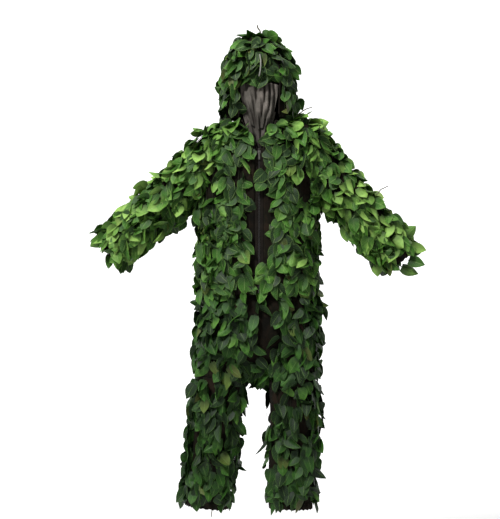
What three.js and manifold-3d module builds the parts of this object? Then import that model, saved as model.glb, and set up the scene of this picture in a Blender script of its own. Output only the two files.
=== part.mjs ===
// A leafy ghillie suit: a hooded zip jacket and elastic-waisted trousers of thin camouflage cloth,
// each panel covered by rows of sewn-on leaves. The suit stands open as it does on a wearer.
// Millimetres, +Z up, the front faces -Y, and the wearer's left is +X. The origin is the middle
// of the neck seam. Each garment tube is a closed loft through ovals, hollowed by a smaller one.
import * as THREE from "three";
import { mergeVertices } from "three/addons/utils/BufferGeometryUtils.js";
import Module from "manifold-3d";

const wasm = await Module();
wasm.setup();

// ---- driving dimensions ----

const CLOTH = 2; // wall of the base cloth
const SEAM_GAP = 0.4; // between pieces that are sewn to each other
const LEAF_TUCK = 6; // how far a row of leaves stands out where it is sewn on
const LEAF_PROUD = 15; // and at its hanging tips
const ROW_PITCH = 98; // from one row of leaves to the next
const ROW_LEDGE = 1;
const CORNER_POWER = 2.4; // 2 is an ellipse, more is boxier
const TUBE_SIDES = 12;
const ROD_SIDES = 20;
const BIG = 2000; // larger than the suit, for cutting tools

const JACKET_LENGTH = 650; // neck seam to hem
const CHEST_HALF_WIDTH = 205;
const CHEST_HALF_DEPTH = 126;
const NECK_DROP = 14; // the top of the base cloth below the neck seam
const NECK_HALF_WIDTH = 84;
const NECK_HALF_DEPTH = 86;
const NECK_V_DEPTH = 122;
const NECK_V_HALF_WIDTH = 62;
const LEAF_FREE_HALF_WIDTH = 30; // the strip either side of the zip that bears no leaves

const SHOULDER_X = 165; // shoulder pivot
const SHOULDER_DROP = 115;
const SHOULDER_RADIUS = 84; // the rounded shoulder of the base cloth
const SHOULDER_HALF_DEPTH = 95;
const SLEEVE_CLEARANCE = 4; // from the shoulder's leaves to the sleeve that turns round them
const SLEEVE_LENGTH = 548; // shoulder pivot to cuff edge
const SLEEVE_TOP_HALF_WIDTH = 83;
const SLEEVE_TOP_HALF_DEPTH = 80;
const CUFF_HALF_WIDTH = 62;
const CUFF_HALF_DEPTH = 58;
const ELBOW_DOWN = 285; // elbow pivot along the sleeve
const ELBOW_FORWARD = 33;
const LEFT_ARM_DROP = 48; // degrees below level
const RIGHT_ARM_DROP = 43.5;
const ARM_RAISE = 40; // degrees of travel from the standing pose
const ARM_LOWER = 8;
const ARM_SWEEP_STEP = 16;

const HOOD_HEIGHT = 302; // neck seam to crown
const HOOD_HALF_WIDTH = 134;
const HOOD_HALF_DEPTH = 126;
const HOOD_FOOT = 3; // the hood's lower edge above the neck seam
const FACE_HALF_WIDTH = 74;
const FACE_TOP = 232;
const HOOD_CENTRE_HALF_WIDTH = 45;
const BRIM_WIDTH = 5;
const VEIL_TOP = 105;
const VEIL_INSET = 14;

const WAIST_DROP = 536; // neck seam to the top of the waistband
const WAIST_EASE = 20; // the trousers' waist is this much smaller than the jacket round it
const WAIST_HALF_WIDTH = CHEST_HALF_WIDTH - WAIST_EASE;
const WAIST_HALF_DEPTH = CHEST_HALF_DEPTH - WAIST_EASE;
const SEAT_HALF_WIDTH = 210;
const SEAT_HALF_DEPTH = 118;
const SEAT_LEAF_DROP = JACKET_LENGTH + 18; // where the trousers' leaves start, just under the jacket
const HIP_X = 122;
const HIP_DROP = 760;
const HIP_RADIUS = 150;
const THIGH_HALF_WIDTH = 89;
const THIGH_HALF_DEPTH = 110;
const ANKLE_HALF_WIDTH = 74;
const ANKLE_HALF_DEPTH = 72;
const LEG_LENGTH = 680; // hip pivot to trouser hem
const KNEE_DOWN = 300;
const KNEE_BACK = 40;
const LEFT_LEG_SPLAY = 0; // degrees from upright
const RIGHT_LEG_SPLAY = 6;
const JOINT_GAP = 4; // between the two curved edges at an elbow, hip or knee
const JOINT_MARGIN = 6; // how far those edges run outside the tube

const CASING_HEIGHT = 24; // folded hems that hold elastic
const CASING_PROUD = 1.5;
const CASING_THICKNESS = 6;
const CASING_SLOT = 2.4;
const CASING_FOLD = 4;
const ELASTIC_THICKNESS = 1.6;

const ZIP_TOP = 126; // below the neck seam
const ZIP_BOTTOM = JACKET_LENGTH - 16;
const ZIP_GAP = 1.8; // between the two rows of teeth
const TOOTH_WIDTH = 2.3;
const TOOTH_DEPTH = 2.6;
const TAPE_WIDTH = 12;
const TAPE_THICKNESS = 1;
const SLIDER_LENGTH = 10;
const SLIDER_HALF_WIDTH = 5.5;
const SLIDER_PLATE = 1.5;
const SLIDER_CLEARANCE = 0.4;
const PIN_RADIUS = 0.6;
const PULL_LENGTH = 28;
const PULL_THICKNESS = 1.2;

const NECK_TAPE = 3;
const LINING_INSET = 10;
const LINING_HALF_WIDTH = 74;
const LOOP_HALF_WIDTH = 20;
const LOOP_RISE = 18;
const LOOP_RADIUS = 1.8;
const FLY_LENGTH = 150;
const FLY_HALF_WIDTH = 14;
const GUSSET_HALF_WIDTH = 10;

// ---- materials ----

const cloth = new THREE.MeshStandardMaterial({ color: 0x2e2519, roughness: 0.95, metalness: 0 });
const jacketLeaf = new THREE.MeshStandardMaterial({ color: 0x4c8a34, roughness: 0.6, metalness: 0 });
const trouserLeaf = new THREE.MeshStandardMaterial({ color: 0x2f6426, roughness: 0.6, metalness: 0 });
const elastic = new THREE.MeshStandardMaterial({ color: 0x1d1b18, roughness: 0.85, metalness: 0 });
const greyMesh = new THREE.MeshStandardMaterial({ color: 0x857c72, roughness: 0.95, metalness: 0 });
const zipTape = new THREE.MeshStandardMaterial({ color: 0x1b1812, roughness: 0.9, metalness: 0 });
const zipTeeth = new THREE.MeshStandardMaterial({ color: 0x26231e, roughness: 0.45, metalness: 0 });
const zipMetal = new THREE.MeshStandardMaterial({ color: 0x4d4a44, roughness: 0.35, metalness: 1 });

// ---- solids ----

// A three.js geometry as a solid that can be joined and cut.
function solid(geometry) {
  const bare = geometry.clone();
  bare.deleteAttribute("normal");
  bare.deleteAttribute("uv");
  const merged = mergeVertices(bare);
  const vertProperties = new Float32Array(merged.getAttribute("position").array);
  const triVerts = new Uint32Array(merged.index.array);
  return new wasm.Manifold(new wasm.Mesh({ numProp: 3, vertProperties, triVerts }));
}

const join = (...solids) => solids.reduce((all, next) => all.add(next));

// The solid as a named mesh of the suit.
function piece(name, shape, material) {
  const { vertProperties, triVerts } = shape.getMesh();
  const geometry = new THREE.BufferGeometry();
  geometry.setAttribute("position", new THREE.BufferAttribute(vertProperties, 3));
  geometry.setIndex(new THREE.BufferAttribute(triVerts, 1));
  geometry.computeVertexNormals();
  const mesh = new THREE.Mesh(geometry, material);
  mesh.name = name;
  return mesh;
}

// A layer of leaves as a mesh, without the slivers that a row's ledge leaves at a curved edge.
function leafPiece(name, shape, material) {
  const bodies = shape.decompose();
  return piece(name, bodies.reduce((main, body) => (body.volume() > main.volume() ? body : main)), material);
}

// A box between two corners.
function block(x0, x1, y0, y1, z0, z1) {
  const geometry = new THREE.BoxGeometry(x1 - x0, y1 - y0, z1 - z0);
  return solid(geometry.translate((x0 + x1) / 2, (y0 + y1) / 2, (z0 + z1) / 2));
}

const halfSpace = {
  front: (y) => block(-BIG, BIG, -BIG, y, -BIG, BIG),
  back: (y) => block(-BIG, BIG, y, BIG, -BIG, BIG),
  above: (z) => block(-BIG, BIG, -BIG, BIG, z, BIG),
  below: (z) => block(-BIG, BIG, -BIG, BIG, -BIG, z),
  left: (x) => block(x, BIG, -BIG, BIG, -BIG, BIG),
  right: (x) => block(-BIG, x, -BIG, BIG, -BIG, BIG),
};

// The sine or cosine of a point on a round ring, pushed out towards the corners of an oval.
const squared = (v) => Math.sign(v) * Math.abs(v) ** (2 / CORNER_POWER);

// A closed geometry through ovals listed from the top down: a cylinder with one ring reshaped for each.
function loft(ovals) {
  const steps = ovals.length - 1;
  const geometry = new THREE.CylinderGeometry(1, 1, steps, TUBE_SIDES, steps);
  const position = geometry.getAttribute("position");
  for (let i = 0; i < position.count; i += 1) {
    const oval = ovals[Math.round(steps / 2 - position.getY(i))];
    const x = oval.halfWidth * squared(position.getX(i));
    const y = -oval.halfDepth * squared(position.getZ(i));
    position.setXYZ(i, x, y, -oval.down);
  }
  return geometry;
}

// The oval of a tube at a distance down its axis, on straight lines between its measured ovals.
function ovalAt(ovals, down, offset) {
  const after = ovals.find((oval) => oval.down >= down) ?? ovals.at(-1);
  const before = ovals[Math.max(0, ovals.indexOf(after) - 1)];
  const span = after.down - before.down || 1;
  const share = THREE.MathUtils.clamp((down - before.down) / span, 0, 1);
  return {
    down,
    halfWidth: THREE.MathUtils.lerp(before.halfWidth, after.halfWidth, share) + offset,
    halfDepth: THREE.MathUtils.lerp(before.halfDepth, after.halfDepth, share) + offset,
  };
}

// A filled tube between two distances down its axis, larger than the measured ovals by offset.
function filled(ovals, offset, from, to) {
  const between = ovals.map((oval) => oval.down).filter((down) => down > from && down < to);
  return loft([from, ...between, to].map((down) => ovalAt(ovals, down, offset)));
}

// The same tube with its outside in rows of leaves, each row standing out towards its lower edge.
function leafFilled(ovals, from, to) {
  const rows = Math.max(1, Math.round((to - from) / ROW_PITCH));
  const pitch = (to - from) / rows;
  const stations = [];
  for (let row = 0; row < rows; row += 1) {
    stations.push(ovalAt(ovals, from + row * pitch, LEAF_TUCK));
    stations.push(ovalAt(ovals, from + (row + 1) * pitch - ROW_LEDGE, LEAF_PROUD));
  }
  return loft(stations);
}

const OVERRUN = 60; // how far a hollowing tool runs past the ends of its tube

function clothTube(ovals, from, to) {
  const inside = solid(filled(ovals, -CLOTH, from - OVERRUN, to + OVERRUN));
  return solid(filled(ovals, 0, from, to)).subtract(inside);
}

function leafTube(ovals, from, to) {
  const inside = solid(filled(ovals, SEAM_GAP, from - OVERRUN, to + OVERRUN));
  return solid(leafFilled(ovals, from, to)).subtract(inside);
}

// A hem folded over into a slot for elastic, open towards the cloth. The fold is at "edge", and the
// slot opens upwards when "side" is 1 and downwards when it is -1. Returns the casing and its elastic.
function elasticHem(ovals, edge, side) {
  const ring = (outer, inner, near, far) => {
    const [from, to] = [edge - side * far, edge - side * near].sort((a, b) => a - b);
    const hole = solid(filled(ovals, inner, from - OVERRUN, to + OVERRUN));
    return solid(filled(ovals, outer, from, to)).subtract(hole);
  };
  const middle = CASING_PROUD - CASING_THICKNESS / 2;
  const body = ring(CASING_PROUD, CASING_PROUD - CASING_THICKNESS, 0, CASING_HEIGHT);
  const slot = ring(
    middle + CASING_SLOT / 2,
    middle - CASING_SLOT / 2,
    CASING_FOLD,
    CASING_HEIGHT + OVERRUN,
  );
  const band = ring(
    middle + ELASTIC_THICKNESS / 2,
    middle - ELASTIC_THICKNESS / 2,
    CASING_FOLD + SEAM_GAP,
    CASING_HEIGHT - SEAM_GAP,
  );
  return { casing: body.subtract(slot), band };
}

// A cylinder across the suit (along X) or through it (along Y).
const rodX = (radius, length, y, z) =>
  new THREE.CylinderGeometry(radius, radius, length, ROD_SIDES).rotateZ(Math.PI / 2).translate(0, y, z);
const rodY = (radius, length) => new THREE.CylinderGeometry(radius, radius, length, ROD_SIDES);

const degrees = THREE.MathUtils.degToRad;
const suit = new THREE.Group();

// ---- limbs ----

const sleeveOvals = [
  { down: 0, halfWidth: SLEEVE_TOP_HALF_WIDTH, halfDepth: SLEEVE_TOP_HALF_DEPTH },
  { down: SLEEVE_LENGTH, halfWidth: CUFF_HALF_WIDTH, halfDepth: CUFF_HALF_DEPTH },
];
const legOvals = [
  { down: 0, halfWidth: THIGH_HALF_WIDTH, halfDepth: THIGH_HALF_DEPTH },
  { down: LEG_LENGTH, halfWidth: ANKLE_HALF_WIDTH, halfDepth: ANKLE_HALF_DEPTH },
];

// A limb's two halves, cut apart round a hinge across it: the upper half ends in a rounded edge
// about the hinge and the lower half starts in a hollow one. The hinge lies off the limb's axis,
// towards the side that it bends to, so the hollow edge never meets the wall above it.
function bend(tube, hingeDown, hingeY, ovals) {
  const widest = ovalAt(ovals, hingeDown, LEAF_PROUD + JOINT_MARGIN).halfDepth + Math.abs(hingeY);
  const upperEdge = solid(rodX(widest, BIG, hingeY, -hingeDown));
  const lowerEdge = solid(rodX(widest + JOINT_GAP, BIG, hingeY, -hingeDown));
  return {
    upper: tube.intersect(join(halfSpace.above(-hingeDown), upperEdge)),
    lower: tube.intersect(halfSpace.below(-hingeDown)).subtract(lowerEdge),
  };
}

// A sleeve hangs down its own -Z from the shoulder pivot, and its group turns it out from the body.
const shoulderLeafRadius = SHOULDER_RADIUS + LEAF_PROUD;
const sleeveRootRadius = shoulderLeafRadius + SLEEVE_CLEARANCE;
const clothEnd = CASING_HEIGHT + SEAM_GAP; // the cloth and the leaves stop where a casing starts

function sleeve(side, sideName, drop) {
  const group = new THREE.Group();
  group.position.set(side * SHOULDER_X, 0, -SHOULDER_DROP);
  group.rotation.y = -side * degrees(90 - drop);
  const root = solid(rodY(sleeveRootRadius, BIG));
  const end = SLEEVE_LENGTH - clothEnd;
  const clothHalves = bend(clothTube(sleeveOvals, 0, end), ELBOW_DOWN, -ELBOW_FORWARD, sleeveOvals);
  const leafHalves = bend(leafTube(sleeveOvals, 0, end), ELBOW_DOWN, -ELBOW_FORWARD, sleeveOvals);
  const hem = elasticHem(sleeveOvals, SLEEVE_LENGTH, 1);
  group.add(
    piece(`upper_sleeve_${sideName}`, clothHalves.upper.subtract(root), cloth),
    leafPiece(`upper_sleeve_leaves_${sideName}`, leafHalves.upper.subtract(root), jacketLeaf),
    piece(`lower_sleeve_${sideName}`, clothHalves.lower, cloth),
    leafPiece(`lower_sleeve_leaves_${sideName}`, leafHalves.lower, jacketLeaf),
    piece(`cuff_casing_${sideName}`, hem.casing, cloth),
    piece(`cuff_elastic_${sideName}`, hem.band, elastic),
  );
  return group;
}

// A leg hangs down its own -Z from the hip pivot, and its group splays it.
function legGroup(side, splay) {
  const group = new THREE.Group();
  group.position.set(side * HIP_X, 0, -HIP_DROP);
  group.rotation.y = -side * degrees(splay);
  return group;
}

function leg(side, sideName, splay) {
  const group = legGroup(side, splay);
  const hip = solid(rodX(HIP_RADIUS + JOINT_GAP / 2, BIG, 0, 0));
  const end = LEG_LENGTH - clothEnd;
  const clothHalves = bend(clothTube(legOvals, 0, end), KNEE_DOWN, KNEE_BACK, legOvals);
  const leafHalves = bend(leafTube(legOvals, HIP_RADIUS / 2, end), KNEE_DOWN, KNEE_BACK, legOvals);
  const hem = elasticHem(legOvals, LEG_LENGTH, 1);
  group.add(
    piece(`thigh_${sideName}`, clothHalves.upper.subtract(hip), cloth),
    leafPiece(`thigh_leaves_${sideName}`, leafHalves.upper.subtract(hip), trouserLeaf),
    piece(`shin_${sideName}`, clothHalves.lower, cloth),
    leafPiece(`shin_leaves_${sideName}`, leafHalves.lower, trouserLeaf),
    piece(`ankle_casing_${sideName}`, hem.casing, cloth),
    piece(`ankle_elastic_${sideName}`, hem.band, elastic),
  );
  return group;
}

const sides = [
  { side: 1, sideName: "left", armDrop: LEFT_ARM_DROP, splay: LEFT_LEG_SPLAY },
  { side: -1, sideName: "right", armDrop: RIGHT_ARM_DROP, splay: RIGHT_LEG_SPLAY },
];

for (const { side, sideName, armDrop, splay } of sides) {
  suit.add(sleeve(side, sideName, armDrop));
  suit.add(leg(side, sideName, splay));
}

// ---- jacket body ----

// The chest tube, rounded in over the shoulders to the neck.
const torsoOvals = [
  { down: NECK_DROP, halfWidth: NECK_HALF_WIDTH, halfDepth: NECK_HALF_DEPTH },
  { down: NECK_DROP + 24, halfWidth: SHOULDER_X - 32, halfDepth: CHEST_HALF_DEPTH - 24 },
  { down: NECK_DROP + 66, halfWidth: CHEST_HALF_WIDTH - 20, halfDepth: CHEST_HALF_DEPTH - 8 },
  { down: NECK_V_DEPTH, halfWidth: CHEST_HALF_WIDTH - 6, halfDepth: CHEST_HALF_DEPTH },
  { down: JACKET_LENGTH, halfWidth: CHEST_HALF_WIDTH, halfDepth: CHEST_HALF_DEPTH },
];

// The rounded end of each shoulder: a barrel about the shoulder pivot, with softened rims.
function shoulderBarrels(offset) {
  const radius = SHOULDER_RADIUS + offset;
  const halfDepth = SHOULDER_HALF_DEPTH + offset;
  const rim = halfDepth * 0.45;
  const profile = [
    new THREE.Vector2(0, -halfDepth),
    new THREE.Vector2(radius * 0.72, -halfDepth),
    new THREE.Vector2(radius, -rim),
    new THREE.Vector2(radius, rim),
    new THREE.Vector2(radius * 0.72, halfDepth),
    new THREE.Vector2(0, halfDepth),
  ];
  const barrel = (side) =>
    solid(new THREE.LatheGeometry(profile, ROD_SIDES).translate(side * SHOULDER_X, 0, -SHOULDER_DROP));
  return join(barrel(1), barrel(-1));
}

// Everything that a raised or lowered sleeve passes through, with the arm's way into it.
function sleeveSweep() {
  const reach = SHOULDER_RADIUS * 4;
  const swept = sides.flatMap(({ side, armDrop }) => {
    const stroke = [];
    for (let turn = -ARM_RAISE; turn <= ARM_LOWER; turn += ARM_SWEEP_STEP) stroke.push(turn);
    return stroke.map((turn) => {
      const tube = filled(sleeveOvals, LEAF_PROUD + SLEEVE_CLEARANCE, -1, reach);
      tube.rotateY(-side * degrees(90 - armDrop - turn));
      return solid(tube.translate(side * SHOULDER_X, 0, -SHOULDER_DROP));
    });
  });
  const kept = sides.map(({ side }) =>
    solid(rodY(shoulderLeafRadius + 1, BIG).translate(side * SHOULDER_X, 0, -SHOULDER_DROP)),
  );
  const armWays = sides.map(({ side, armDrop }) => {
    const bore = filled(sleeveOvals, -2 * CLOTH, 0, reach);
    bore.rotateY(-side * degrees(90 - armDrop));
    return solid(bore.translate(side * SHOULDER_X, 0, -SHOULDER_DROP));
  });
  return join(join(...swept).subtract(join(...kept)), ...armWays);
}

// The open neck: a V through the front, down to the top of the zip.
function neckV(margin) {
  const outline = new THREE.Shape([
    new THREE.Vector2(-NECK_V_HALF_WIDTH - margin, OVERRUN),
    new THREE.Vector2(-NECK_V_HALF_WIDTH - margin, 0),
    new THREE.Vector2(0, -NECK_V_DEPTH - margin),
    new THREE.Vector2(NECK_V_HALF_WIDTH + margin, 0),
    new THREE.Vector2(NECK_V_HALF_WIDTH + margin, OVERRUN),
  ]);
  const extruded = new THREE.ExtrudeGeometry(outline, { depth: BIG, bevelEnabled: false });
  return solid(extruded.rotateX(Math.PI / 2));
}

const sweep = sleeveSweep();
const underNeck = halfSpace.below(-HOOD_FOOT);
const torsoOutside = (offset, from, to) =>
  join(solid(filled(torsoOvals, offset, from, to)), shoulderBarrels(offset));
const hollow = (offset) => torsoOutside(offset, -OVERRUN, JACKET_LENGTH + OVERRUN);
const jacketEnd = JACKET_LENGTH - clothEnd;

const bodyCloth = torsoOutside(0, NECK_DROP, jacketEnd)
  .subtract(hollow(-CLOTH))
  .subtract(sweep)
  .intersect(underNeck);
const bodyLeaves = join(solid(leafFilled(torsoOvals, NECK_DROP - 4, jacketEnd)), shoulderBarrels(LEAF_PROUD))
  .subtract(hollow(SEAM_GAP))
  .subtract(sweep)
  .intersect(underNeck);

const panelEdge = ZIP_GAP / 2 + TOOTH_WIDTH + TAPE_WIDTH + 2 * SEAM_GAP;
const backHalf = halfSpace.back(SEAM_GAP / 2);
const frontHalf = halfSpace.front(-SEAM_GAP / 2);
suit.add(
  piece("jacket_back_panel", bodyCloth.intersect(backHalf), cloth),
  leafPiece("jacket_back_leaves", bodyLeaves.intersect(backHalf), jacketLeaf),
);
const frontCloth = bodyCloth.intersect(frontHalf).subtract(neckV(0));
const frontLeaves = bodyLeaves.intersect(frontHalf).subtract(neckV(LEAF_TUCK));
const bySide = { left: halfSpace.left, right: halfSpace.right };
for (const { side, sideName } of sides) {
  const clothSide = bySide[sideName](side * panelEdge);
  const leafSide = bySide[sideName](side * LEAF_FREE_HALF_WIDTH);
  suit.add(
    piece(`jacket_front_${sideName}`, frontCloth.intersect(clothSide), cloth),
    leafPiece(`jacket_front_leaves_${sideName}`, frontLeaves.intersect(leafSide), jacketLeaf),
  );
}

const zipStrip = block(-panelEdge, panelEdge, -BIG, 0, -BIG, BIG);
const jacketHem = elasticHem(torsoOvals, JACKET_LENGTH, 1);
suit.add(
  piece("jacket_hem_casing", jacketHem.casing.subtract(zipStrip), cloth),
  piece("jacket_hem_elastic", jacketHem.band.subtract(zipStrip), elastic),
);

// Neck tape inside the top of the jacket, open at the front, and the loop that the suit hangs by.
const tapeOutside = -CLOTH - 2 * SEAM_GAP;
const neckTape = solid(filled(torsoOvals, tapeOutside, NECK_DROP - 8, NECK_DROP))
  .subtract(solid(filled(torsoOvals, tapeOutside - NECK_TAPE, -OVERRUN, OVERRUN)))
  .subtract(neckV(0));
suit.add(piece("neck_seam_tape", neckTape, cloth));

const loopPath = new THREE.CatmullRomCurve3([
  new THREE.Vector3(-LOOP_HALF_WIDTH, 0, 0),
  new THREE.Vector3(-LOOP_HALF_WIDTH * 0.7, 0, LOOP_RISE * 0.8),
  new THREE.Vector3(0, 0, LOOP_RISE),
  new THREE.Vector3(LOOP_HALF_WIDTH * 0.7, 0, LOOP_RISE * 0.8),
  new THREE.Vector3(LOOP_HALF_WIDTH, 0, 0),
]);
const loopSection = new THREE.Shape().absarc(0, 0, LOOP_RADIUS, 0, 2 * Math.PI);
const loop = new THREE.ExtrudeGeometry(loopSection, {
  steps: 14,
  curveSegments: 4,
  bevelEnabled: false,
  extrudePath: loopPath,
});
const hangerLoop = piece("hanger_loop", solid(loop), cloth);
const tapeInside = NECK_HALF_DEPTH + tapeOutside - NECK_TAPE - LOOP_HALF_WIDTH / 3;
hangerLoop.position.set(0, tapeInside - LOOP_RADIUS, -NECK_DROP / 2);
suit.add(hangerLoop);

// Grey mesh that closes the neck behind the V.
const liningShell = solid(filled(torsoOvals, -LINING_INSET, NECK_DROP, NECK_V_DEPTH + 14)).subtract(
  solid(filled(torsoOvals, -LINING_INSET - CLOTH, -OVERRUN, JACKET_LENGTH)),
);
const liningWindow = block(
  -LINING_HALF_WIDTH,
  LINING_HALF_WIDTH,
  -BIG,
  -NECK_HALF_DEPTH / 3,
  -BIG,
  -NECK_DROP - 10,
);
suit.add(piece("neck_lining", liningShell.intersect(liningWindow), greyMesh));

// ---- front zip ----

const zipY = -CHEST_HALF_DEPTH; // middle of the tape and the teeth
const teethHalfDepth = TOOTH_DEPTH / 2;
for (const { side, sideName } of sides) {
  const across = (near, far, halfDepth, top, bottom) => {
    const [x0, x1] = [side * near, side * far].sort((a, b) => a - b);
    return block(x0, x1, zipY - halfDepth, zipY + halfDepth, -bottom, -top);
  };
  const teethEnd = ZIP_GAP / 2 + TOOTH_WIDTH;
  const tapeStart = teethEnd + SEAM_GAP;
  const stopBottom = ZIP_TOP - SEAM_GAP;
  suit.add(
    piece(
      `zip_tape_${sideName}`,
      across(tapeStart, tapeStart + TAPE_WIDTH, TAPE_THICKNESS / 2, ZIP_TOP - 4, ZIP_BOTTOM + 12),
      zipTape,
    ),
    piece(`zip_teeth_${sideName}`, across(ZIP_GAP / 2, teethEnd, teethHalfDepth, ZIP_TOP, ZIP_BOTTOM), zipTeeth),
    piece(
      `zip_top_stop_${sideName}`,
      across(ZIP_GAP / 2 + SEAM_GAP, teethEnd, teethHalfDepth, stopBottom - 4, stopBottom),
      zipMetal,
    ),
  );
}

// The separating end: a box fixed to the wearer's right tape, and the left tape's pin in it.
const boxTop = ZIP_BOTTOM + SEAM_GAP;
const boxBottom = boxTop + 11;
const zipBox = block(-3.1, 3.1, zipY - 2.4, zipY + 2.4, -boxBottom, -boxTop).subtract(
  block(0.7, 2.7, zipY - 1.4, zipY + 1.4, -boxBottom + 2, 0),
);
suit.add(
  piece("zip_bottom_box", zipBox, zipMetal),
  piece("zip_insert_pin", block(1.1, 2.3, zipY - 1, zipY + 1, -boxBottom + 2.5, -boxTop), zipMetal),
);

// Windproof strip behind the zip.
const flapY = zipY + 3 * CLOTH;
suit.add(
  piece("zip_underflap", block(-19, 19, flapY, flapY + CLOTH / 2, -jacketEnd, -NECK_V_DEPTH + 1), cloth),
);

// Slider: two plates either side of the teeth, a thin post between the rows and two ears in front.
const sliderMiddle = ZIP_TOP + SLIDER_LENGTH / 2 + 3;
const plateNear = teethHalfDepth + SLIDER_CLEARANCE;
const plateFar = plateNear + SLIDER_PLATE;
const pinY = zipY - plateFar - 1.8;
const plate = (y0, y1) =>
  block(-SLIDER_HALF_WIDTH, SLIDER_HALF_WIDTH, y0, y1, -SLIDER_LENGTH / 2, SLIDER_LENGTH / 2);
const postHalfWidth = ZIP_GAP / 2 - 0.3;
const ear = (side) => {
  const [x0, x1] = [side * 1.5, side * 2.7].sort((a, b) => a - b);
  return block(x0, x1, pinY - 1, zipY - plateNear - 0.5, -1.5, 1.5);
};
const sliderShape = join(
  plate(zipY - plateFar, zipY - plateNear),
  plate(zipY + plateNear, zipY + plateFar),
  block(-postHalfWidth, postHalfWidth, zipY - plateFar, zipY + plateFar, 1, SLIDER_LENGTH / 2),
  ear(1),
  ear(-1),
  solid(rodX(PIN_RADIUS, 4, pinY, 0)),
);
const slider = piece("zip_slider", sliderShape, zipMetal);
slider.position.z = -sliderMiddle;

const pullPlate = block(-1.1, 1.1, -PULL_THICKNESS / 2, PULL_THICKNESS / 2, -4, 0);
const pullGrip = block(-3.4, 3.4, -PULL_THICKNESS / 2, PULL_THICKNESS / 2, -PULL_LENGTH, -3.5);
const pullEye = solid(rodX(PIN_RADIUS + 1, 2.2, 0, 0)).subtract(solid(rodX(PIN_RADIUS + 0.35, 4, 0, 0)));
const pullBody = join(pullPlate, pullGrip).subtract(solid(rodX(PIN_RADIUS + 0.35, 4, 0, 0)));
const pull = piece("zip_pull_tab", join(pullEye, pullBody), zipMetal);
pull.position.set(0, pinY, -sliderMiddle);
suit.add(slider, pull);

// ---- hood ----

// Ovals by their height over the neck seam. The crown's rise with the offset as well.
const hoodOvals = [
  { rise: HOOD_HEIGHT, halfWidth: 34, halfDepth: 30 },
  { rise: HOOD_HEIGHT - 14, halfWidth: HOOD_HALF_WIDTH - 58, halfDepth: HOOD_HALF_DEPTH - 56 },
  { rise: HOOD_HEIGHT - 54, halfWidth: HOOD_HALF_WIDTH - 17, halfDepth: HOOD_HALF_DEPTH - 15 },
  { rise: HOOD_HEIGHT - 124, halfWidth: HOOD_HALF_WIDTH, halfDepth: HOOD_HALF_DEPTH },
  { rise: 90, halfWidth: HOOD_HALF_WIDTH - 2, halfDepth: HOOD_HALF_DEPTH - 4 },
  { rise: HOOD_FOOT, halfWidth: HOOD_HALF_WIDTH - 12, halfDepth: HOOD_HALF_DEPTH - 18 },
];
const CROWN_OVALS = 3;

const hoodRaised = (offset) =>
  hoodOvals.map(({ rise, ...oval }, index) => ({ down: -rise - (index < CROWN_OVALS ? offset : 0), ...oval }));

const hoodFilled = (offset, foot) =>
  solid(filled(hoodRaised(offset), offset, -HOOD_HEIGHT - offset, foot));

// The hood's outside: a smooth crown of leaves, with rows below it.
function hoodLeafFilled() {
  const rowsTop = -hoodOvals[CROWN_OVALS - 1].rise;
  const crownEnd = -hoodOvals[CROWN_OVALS].rise;
  const crown = filled(hoodRaised(LEAF_PROUD), LEAF_PROUD, -HOOD_HEIGHT - LEAF_PROUD, crownEnd);
  return join(solid(crown), solid(leafFilled(hoodRaised(0), rowsTop, -HOOD_FOOT)));
}

// An arch through the front of the hood, for the face.
function faceArch(margin) {
  const halfWidth = FACE_HALF_WIDTH + margin;
  const outline = new THREE.Shape();
  outline.moveTo(-halfWidth, -OVERRUN);
  outline.lineTo(halfWidth, -OVERRUN);
  outline.absarc(0, FACE_TOP - FACE_HALF_WIDTH, halfWidth, 0, Math.PI, false);
  outline.closePath();
  const settings = { depth: BIG, bevelEnabled: false, curveSegments: 10 };
  return solid(new THREE.ExtrudeGeometry(outline, settings).rotateX(Math.PI / 2));
}

const hoodInside = hoodFilled(-CLOTH, OVERRUN);
const hoodCloth = hoodFilled(0, -HOOD_FOOT).subtract(hoodInside).subtract(faceArch(0));
const centreStrip = block(-HOOD_CENTRE_HALF_WIDTH, HOOD_CENTRE_HALF_WIDTH, -BIG, BIG, -BIG, BIG);
const hoodEdge = HOOD_CENTRE_HALF_WIDTH + SEAM_GAP;
const hoodLeaves = hoodLeafFilled().subtract(hoodFilled(SEAM_GAP, OVERRUN)).subtract(faceArch(BRIM_WIDTH));
const brim = hoodFilled(CASING_PROUD, -HOOD_FOOT)
  .subtract(hoodFilled(CASING_PROUD - CASING_THICKNESS, OVERRUN))
  .intersect(faceArch(-SEAM_GAP))
  .subtract(faceArch(-BRIM_WIDTH));
const veil = hoodFilled(-VEIL_INSET, -HOOD_FOOT)
  .subtract(hoodFilled(-VEIL_INSET - CLOTH, OVERRUN))
  .intersect(block(-FACE_HALF_WIDTH - BRIM_WIDTH, FACE_HALF_WIDTH + BRIM_WIDTH, -BIG, 0, HOOD_FOOT, VEIL_TOP));
suit.add(
  piece("hood_centre_panel", hoodCloth.intersect(centreStrip), cloth),
  piece("hood_side_left", hoodCloth.intersect(halfSpace.left(hoodEdge)), cloth),
  piece("hood_side_right", hoodCloth.intersect(halfSpace.right(-hoodEdge)), cloth),
  leafPiece("hood_leaves", hoodLeaves, jacketLeaf),
  piece("hood_brim_binding", brim, greyMesh),
  piece("face_veil", veil, greyMesh),
);

// ---- trouser seat ----

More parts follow.
